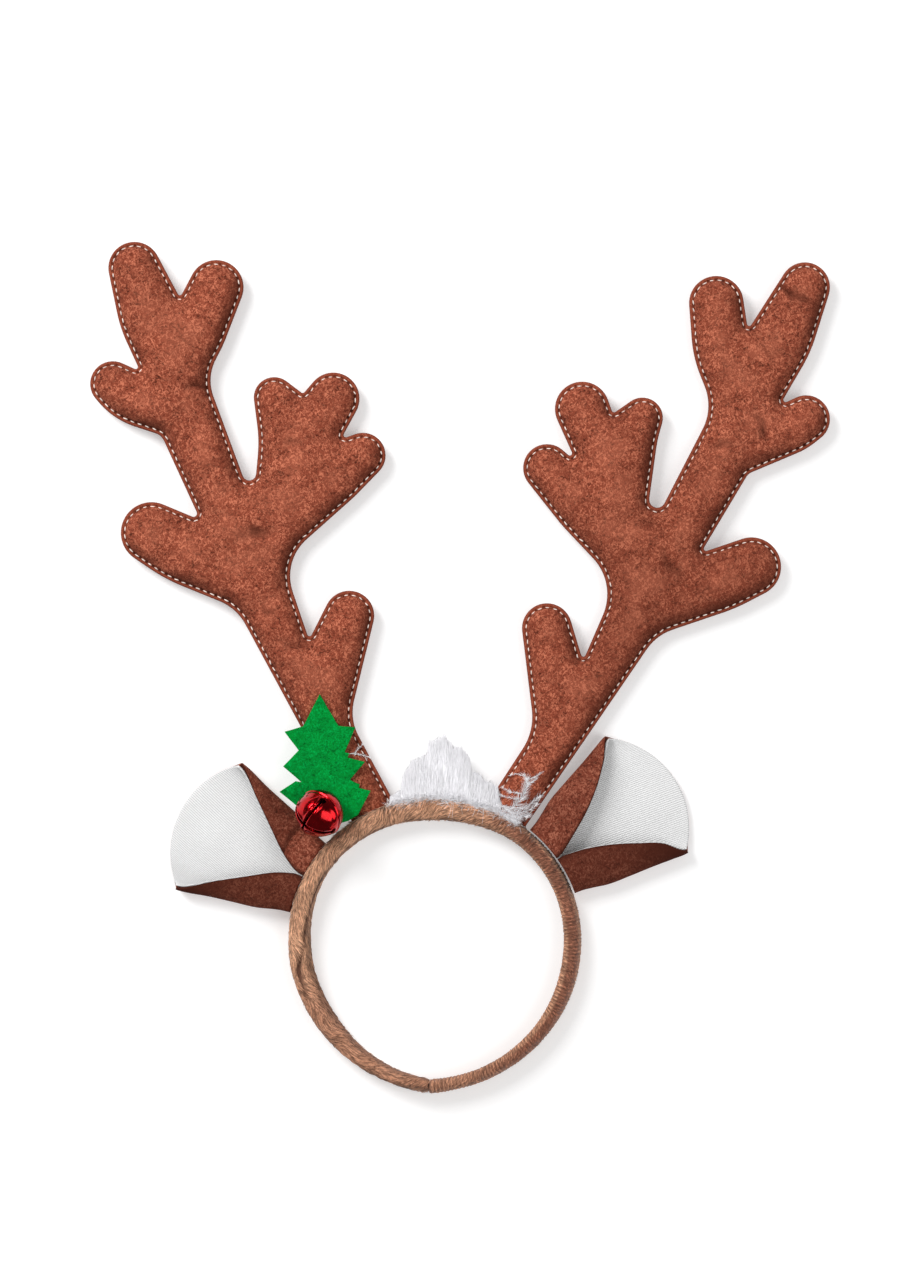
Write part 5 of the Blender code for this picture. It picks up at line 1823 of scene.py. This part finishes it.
def down_material():
    """White down with a pale lilac shade in its depth."""
    color = look().down.colour
    material, tree, shader = new_material("white_down", roughness=0.95, specular_ior_level=0.2,
                                          sheen_weight=0.2)
    tone = read_mark(tree, "tone")
    patch = grain(tree, turned(tree, place_on(tree), 0.0, 0.16), 420.0, 2.0)
    shade = mix(tree, span(tree, patch, 0.35, 0.65), shade_of(color, 0.95), shade_of(color, 1.03))
    give(tree, shader, tint(tree, shade, tone, 0.3, (0.93, 0.93, 0.94, 1.0)))
    return material


class MakeTree(bpy.types.Operator):
    """Make the fir tree: a flat cut-out of green felt."""
    bl_idname = "headband.make_tree"
    bl_label = "Fir tree"

    def execute(self, context):
        sizes = look().tree
        rows = named_rows(TREE_COLUMNS, TREE_OUTLINE)
        points = [Vector((row["x"] * MM, row["y"] * MM, TREE_BACK)) for row in rows]
        shape = bmesh.new()
        ring = first_ring(shape, points)
        face = shape.faces.new(ring)
        made = bmesh.ops.extrude_face_region(shape, geom=[face])["geom"]
        top = [item for item in made if isinstance(item, bmesh.types.BMVert)]
        bmesh.ops.translate(shape, verts=top, vec=(0.0, 0.0, sizes.felt))
        rim = [edge for edge in shape.edges
               if abs(edge.verts[0].co.z - edge.verts[1].co.z) < 0.1 * MM]
        bmesh.ops.bevel(shape, geom=rim, offset=TREE_EDGE, affect="EDGES", segments=3,
                        profile=0.5, material=-1)
        low = [min(point[axis] for point in points) for axis in (0, 1)]
        high = [max(point[axis] for point in points) for axis in (0, 1)]
        cut_even(shape, list(shape.faces), low, high, TREE_STEP)
        for vert in shape.verts:
            sway = noise.noise(vert.co / (16.0 * MM)) * 0.45 * MM
            edge = noise.noise(vert.co / (2.2 * MM)) * 0.10 * MM
            vert.co.z += sway
            vert.co.x += edge
            vert.co.y += noise.noise(vert.co / (2.0 * MM)) * 0.10 * MM
        face_outwards(shape)
        mesh = to_mesh(shape, "tree_felt")
        mesh.shade_smooth()
        mesh.set_sharp_from_angle(angle=TREE_SHARP)
        material = felt_material("green_felt", sizes.colour, sizes.fleck, fibre=1500.0,
                                 flecks=0.85, clouds=0.25)
        add_piece("tree_felt", mesh, material, "green_felt", "tree")
        return {"FINISHED"}


def bell_matrix():
    """The bell's own axis stands along its pole, its first slot towards the slot side."""
    centre = bell_centre()
    side = (BELL_SLOT_SIDE - BELL_POLE * BELL_SLOT_SIDE.dot(BELL_POLE)).normalized()
    turn = Matrix((side, BELL_POLE.cross(side), BELL_POLE)).transposed()
    return Matrix.Translation(centre) @ turn.to_4x4()


def bell_centre():
    tree_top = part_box("tree")[1].z
    return Vector((BELL_X, BELL_Y, tree_top + BELL_GAP + look().bell.radius))


def spun_shell(profile, segments):
    """A profile of distance and height, spun round Z."""
    shape = bmesh.new()
    verts = [shape.verts.new((x, 0.0, z)) for x, z in profile]
    edges = [shape.edges.new(pair) for pair in zip(verts, verts[1:])]
    bmesh.ops.spin(shape, geom=verts + edges, cent=(0, 0, 0), axis=(0, 0, 1),
                   angle=2.0 * math.pi, steps=segments, use_merge=True)
    bmesh.ops.remove_doubles(shape, verts=shape.verts, dist=0.01 * MM)
    face_outwards(shape)
    return shape


def arc_profile(radius, start, end, steps):
    angles = np.linspace(start, end, steps + 1)
    return [(radius * math.sin(angle), radius * math.cos(angle)) for angle in angles]


def bell_loop(sizes):
    """The wire loop on the cap's pole, that the bell is sewn on by."""
    shape = bmesh.new()
    bmesh.ops.create_circle(shape, segments=14, radius=LOOP_WIRE)
    turn_shape(shape, 90.0, "X")
    shift_shape(shape, LOOP_RADIUS, 0.0, 0.0)
    bmesh.ops.spin(shape, geom=list(shape.verts) + list(shape.edges), axis=(0, 0, 1),
                   angle=2.0 * math.pi, steps=36, use_merge=True)
    bmesh.ops.remove_doubles(shape, verts=shape.verts, dist=0.01 * MM)
    face_outwards(shape)
    turn_shape(shape, 90.0, "Y")
    shift_shape(shape, 0.0, 0.0, -sizes.radius - 0.5 * LOOP_RADIUS)
    return shape


def press_petals(shape, sizes):
    """Press the bowl between its slots: the lips stand up and the petals are a little flat."""
    for vert in shape.verts:
        place = vert.co
        radius = place.length
        if radius < 0.5 * sizes.radius:
            continue
        polar = math.degrees(place.angle(Vector((0.0, 0.0, 1.0))))
        gap = min(abs(place.x), abs(place.y)) / MM
        near = 1.0 if polar < SLOT_END else max(0.0, 1.0 - (polar - SLOT_END) / 9.0)
        lip = 0.30 * math.exp(-((gap - 1.05) / 0.55) ** 2) - 0.25 * math.exp(-(gap / 0.7) ** 2)
        spoke = math.atan2(place.y, place.x)
        petal = -0.35 * math.sin(math.radians(min(polar, 90.0))) * (
            0.5 - 0.5 * math.cos(4.0 * spoke)) * near
        dent = noise.noise(place / (5.0 * MM)) * 0.10
        scale = 1.0 + (lip * near + petal + dent) * MM / radius
        vert.co = place * scale


def add_shell(name, mesh, material, sharp, node):
    """Stand a half of the bell along its pole, and add it."""
    mesh.transform(bell_matrix())
    mesh.shade_smooth()
    mesh.set_sharp_from_angle(angle=sharp)
    add_piece(name, mesh, material, "red_metal", node)


class MakeBell(bpy.types.Operator):
    """Make the jingle bell: a slotted bowl, a plain cap with its loop, and the loose pellet."""
    bl_idname = "headband.make_bell"
    bl_label = "Bell"

    def execute(self, context):
        sizes = look().bell
        material = lacquer_material()
        inner = sizes.radius - sizes.wall
        crimp = 0.9 * MM / sizes.radius
        proud = sizes.radius + 0.35 * MM
        profile = arc_profile(sizes.radius, 0.0, BELL_SEAM - 1.35 * crimp, 46)
        profile += arc_profile(proud, BELL_SEAM - 0.9 * crimp, BELL_SEAM - 0.15 * crimp, 4)
        profile += arc_profile(inner, BELL_SEAM, 0.0, 40)
        profile[0] = (0.0, sizes.radius)
        profile[-1] = (0.0, inner)
        bowl = spun_shell(profile, 144)
        press_petals(bowl, sizes)
        bowl_mesh = to_mesh(bowl, "bell_bowl_shell")
        cut_slots(bowl_mesh, sizes)
        add_shell("bell_bowl_shell", bowl_mesh, material, BOWL_SHARP, "bell_bowl")
        start = BELL_SEAM + 0.3 * MM / sizes.radius
        profile = arc_profile(sizes.radius, math.pi, start, 30)
        profile += arc_profile(inner, start, math.pi, 30)
        profile[0] = (0.0, -sizes.radius)
        profile[-1] = (0.0, -inner)
        cap = spun_shell(profile, 96)
        loop = to_mesh(bell_loop(sizes), "bell_loop")
        cap.from_mesh(loop)
        bpy.data.meshes.remove(loop)
        cap_mesh = to_mesh(cap, "bell_cap_shell")
        add_shell("bell_cap_shell", cap_mesh, material, CAP_SHARP, "bell_cap")
        steel = steel_material()
        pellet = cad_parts["bell_pellet"]
        for slot in pellet.material_slots:
            slot.material = steel
        return {"FINISHED"}


def cut_slots(mesh, sizes):
    """Cut the crossed slots and the round hole at each end out of the bowl."""
    bowl = bpy.data.objects.new("bowl", mesh)
    bpy.context.scene.collection.objects.link(bowl)
    tools = []
    low = sizes.radius * math.cos(math.radians(SLOT_END))
    high = sizes.radius + 2.0 * MM
    for i in range(2):
        shape = bmesh.new()
        bmesh.ops.create_cube(shape, size=1.0)
        bmesh.ops.scale(shape, verts=shape.verts, vec=(2.0 * high, sizes.slot, high - low))
        shift_shape(shape, 0.0, 0.0, 0.5 * (high + low))
        turn_shape(shape, 90.0 * i, "Z")
        tools.append(to_mesh(shape, "slab"))
    for i in range(4):
        shape = bmesh.new()
        bmesh.ops.create_cone(shape, cap_ends=True, segments=28, radius1=sizes.hole,
                              radius2=sizes.hole, depth=6.0 * MM)
        shift_shape(shape, 0.0, 0.0, sizes.radius)
        turn_shape(shape, SLOT_END, "Y")
        turn_shape(shape, 90.0 * i, "Z")
        tools.append(to_mesh(shape, "hole"))
    for tool in tools:
        cutter = bpy.data.objects.new("cutter", tool)
        bpy.context.scene.collection.objects.link(cutter)
        change = bowl.modifiers.new("slot", "BOOLEAN")
        change.operation = "DIFFERENCE"
        change.solver = "EXACT"
        change.object = cutter
    graph = bpy.context.evaluated_depsgraph_get()
    done = bpy.data.meshes.new_from_object(bowl.evaluated_get(graph))
    shape = bmesh.new()
    shape.from_mesh(done)
    mesh.clear_geometry()
    shape.to_mesh(mesh)
    shape.free()
    for item in [bowl] + [change.object for change in bowl.modifiers]:
        bpy.data.objects.remove(item, do_unlink=True)


def lacquer_material():
    """Red lacquer over pressed metal."""
    color = look().bell.colour
    material, tree, shader = new_material("red_lacquer", metallic=1.0, roughness=0.16,
                                          coat_weight=0.25, coat_roughness=0.04)
    vector = place_on(tree)
    mottle = grain(tree, vector, 260.0, 3.0)
    shade = mix(tree, span(tree, mottle, 0.35, 0.7), shade_of(color, 0.8), shade_of(color, 1.15))
    tree.links.new(span(tree, grain(tree, vector, 900.0, 3.0), 0.3, 0.7, 0.10, 0.24),
                   shader.inputs["Roughness"])
    give(tree, shader, shade, grain(tree, vector, 420.0, 2.0), 0.06 * MM, 0.5)
    return material


def steel_material():
    material, tree, shader = new_material("pellet_steel", metallic=1.0, roughness=0.3)
    wear = grain(tree, place_on(tree), 900.0, 3.0)
    shade = mix(tree, span(tree, wear, 0.4, 0.7), (0.62, 0.62, 0.64, 1.0), (0.34, 0.33, 0.33, 1.0))
    give(tree, shader, shade, wear, 0.05 * MM, 0.4)
    return material


class MakeStage(bpy.types.Operator):
    """Make the pale floor, the soft lights and the camera straight above."""
    bl_idname = "headband.make_stage"
    bl_label = "Stage"

    def execute(self, context):
        scene = context.scene
        sizes = look().stage
        scene.view_settings.view_transform = "Standard"
        world = bpy.data.worlds.new("studio")
        scene.world = world
        world.use_nodes = True
        air = world.node_tree
        background = air.nodes["Background"]
        background.inputs["Color"].default_value = (1.0, 1.0, 1.0, 1.0)
        rays = put(air, "ShaderNodeLightPath").outputs
        dimmed = calc(air, "MULTIPLY", rays["Is Glossy Ray"], SKY_DIMMED * sizes.sky)
        seen = calc(air, "MULTIPLY", rays["Is Camera Ray"], SKY_SEEN - sizes.sky)
        level = calc(air, "ADD", calc(air, "SUBTRACT", sizes.sky, dimmed), seen)
        air.links.new(level, background.inputs["Strength"])
        shape = bmesh.new()
        bmesh.ops.create_grid(shape, x_segments=1, y_segments=1, size=3.0)
        floor = bpy.data.objects.new("floor", to_mesh(shape, "floor"))
        material, _, shader = new_material("floor", roughness=0.9)
        shader.inputs["Base Color"].default_value = sizes.floor
        shader.inputs["Emission Color"].default_value = (1.0, 1.0, 1.0, 1.0)
        shader.inputs["Emission Strength"].default_value = sizes.glow
        floor.data.materials.append(material)
        scene.collection.objects.link(floor)
        middle = Vector((0.5 * PIXEL, 28.0 * PIXEL, EAR_MIDDLE))
        add_light("key", middle + Vector((-1.1, 1.1, 1.3)), middle, 1.1, sizes.key)
        add_light("fill", middle + Vector((1.2, -0.4, 1.4)), middle, 1.4, FILL_SHARE * sizes.key)
        camera = bpy.data.objects.new("camera", bpy.data.cameras.new("camera"))
        scene.collection.objects.link(camera)
        camera.data.lens = sizes.lens
        camera.data.sensor_width = 36.0
        camera.data.dof.use_dof = False
        camera.data.clip_end = 50.0
        away = sizes.frame_height * sizes.lens / camera.data.sensor_width
        camera.location = middle + Vector((0.0, 0.0, away))
        scene.camera = camera
        return {"FINISHED"}


def add_light(name, place, target, size, power):
    """A soft light that faces its target."""
    lamp = bpy.data.lights.new(name, "AREA")
    lamp.shape = "RECTANGLE"
    lamp.size = 0.7 * size
    lamp.size_y = 1.2 * size
    lamp.energy = power
    light = bpy.data.objects.new(name, lamp)
    light.location = place
    light.rotation_euler = (target - place).to_track_quat("-Z", "Y").to_euler()
    bpy.context.scene.collection.objects.link(light)


class HeadbandLook(bpy.types.PropertyGroup):
    antler: bpy.props.PointerProperty(
        name="Antlers", description="The padded antlers", type=AntlerLook)
    stitch: bpy.props.PointerProperty(
        name="Stitches", description="The running stitch", type=StitchLook)
    band: bpy.props.PointerProperty(
        name="Band", description="The plush band", type=BandLook)
    ear: bpy.props.PointerProperty(
        name="Ears", description="The lined ears", type=EarLook)
    down: bpy.props.PointerProperty(
        name="Down", description="The white down", type=DownLook)
    tree: bpy.props.PointerProperty(
        name="Fir tree", description="The felt fir tree", type=TreeLook)
    bell: bpy.props.PointerProperty(
        name="Bell", description="The jingle bell", type=BellLook)
    stage: bpy.props.PointerProperty(
        name="Stage", description="Floor, lights and camera", type=StageLook)


class HeadbandPanel(bpy.types.Panel):
    """The headband's pieces, with the sizes and colours that they are made from."""
    bl_idname = "VIEW3D_PT_headband"
    bl_label = "Reindeer headband"
    bl_space_type = "VIEW_3D"
    bl_region_type = "UI"
    bl_category = "Headband"

    def draw(self, context):
        looks = context.scene.headband_look
        for operator, keys in PANEL_ROWS:
            box = self.layout.box()
            box.operator(operator.bl_idname, text=operator.bl_label)
            for key in keys:
                group = getattr(looks, key)
                for name in group.bl_rna.properties.keys():
                    if name not in ("rna_type", "name"):
                        box.prop(group, name)


PANEL_ROWS = (
    (MakeStage, ("stage",)),
    (MakeBand, ("band",)),
    (MakeAntlers, ("antler", "stitch")),
    (MakeEars, ("ear",)),
    (MakeTree, ("tree",)),
    (MakeBell, ("bell",)),
    (MakeDown, ("down",)),
)
CLASSES = (AntlerLook, StitchLook, BandLook, EarLook, DownLook, TreeLook, BellLook, StageLook,
           HeadbandLook, MakeStage, MakeBand, MakeAntlers, MakeEars, MakeTree, MakeBell,
           MakeDown, HeadbandPanel)


def register():
    for kind in CLASSES:
        bpy.utils.register_class(kind)
    bpy.types.Scene.headband_look = bpy.props.PointerProperty(type=HeadbandLook)


def unregister():
    del bpy.types.Scene.headband_look
    for kind in reversed(CLASSES):
        bpy.utils.unregister_class(kind)


def main():
    register()
    build_fibre_group()
    bpy.ops.headband.make_stage()
    bpy.ops.headband.make_band()
    bpy.ops.headband.make_antlers()
    bpy.ops.headband.make_ears()
    bpy.ops.headband.make_tree()
    bpy.ops.headband.make_bell()
    bpy.ops.headband.make_down()


if __name__ == "__main__":
    main()
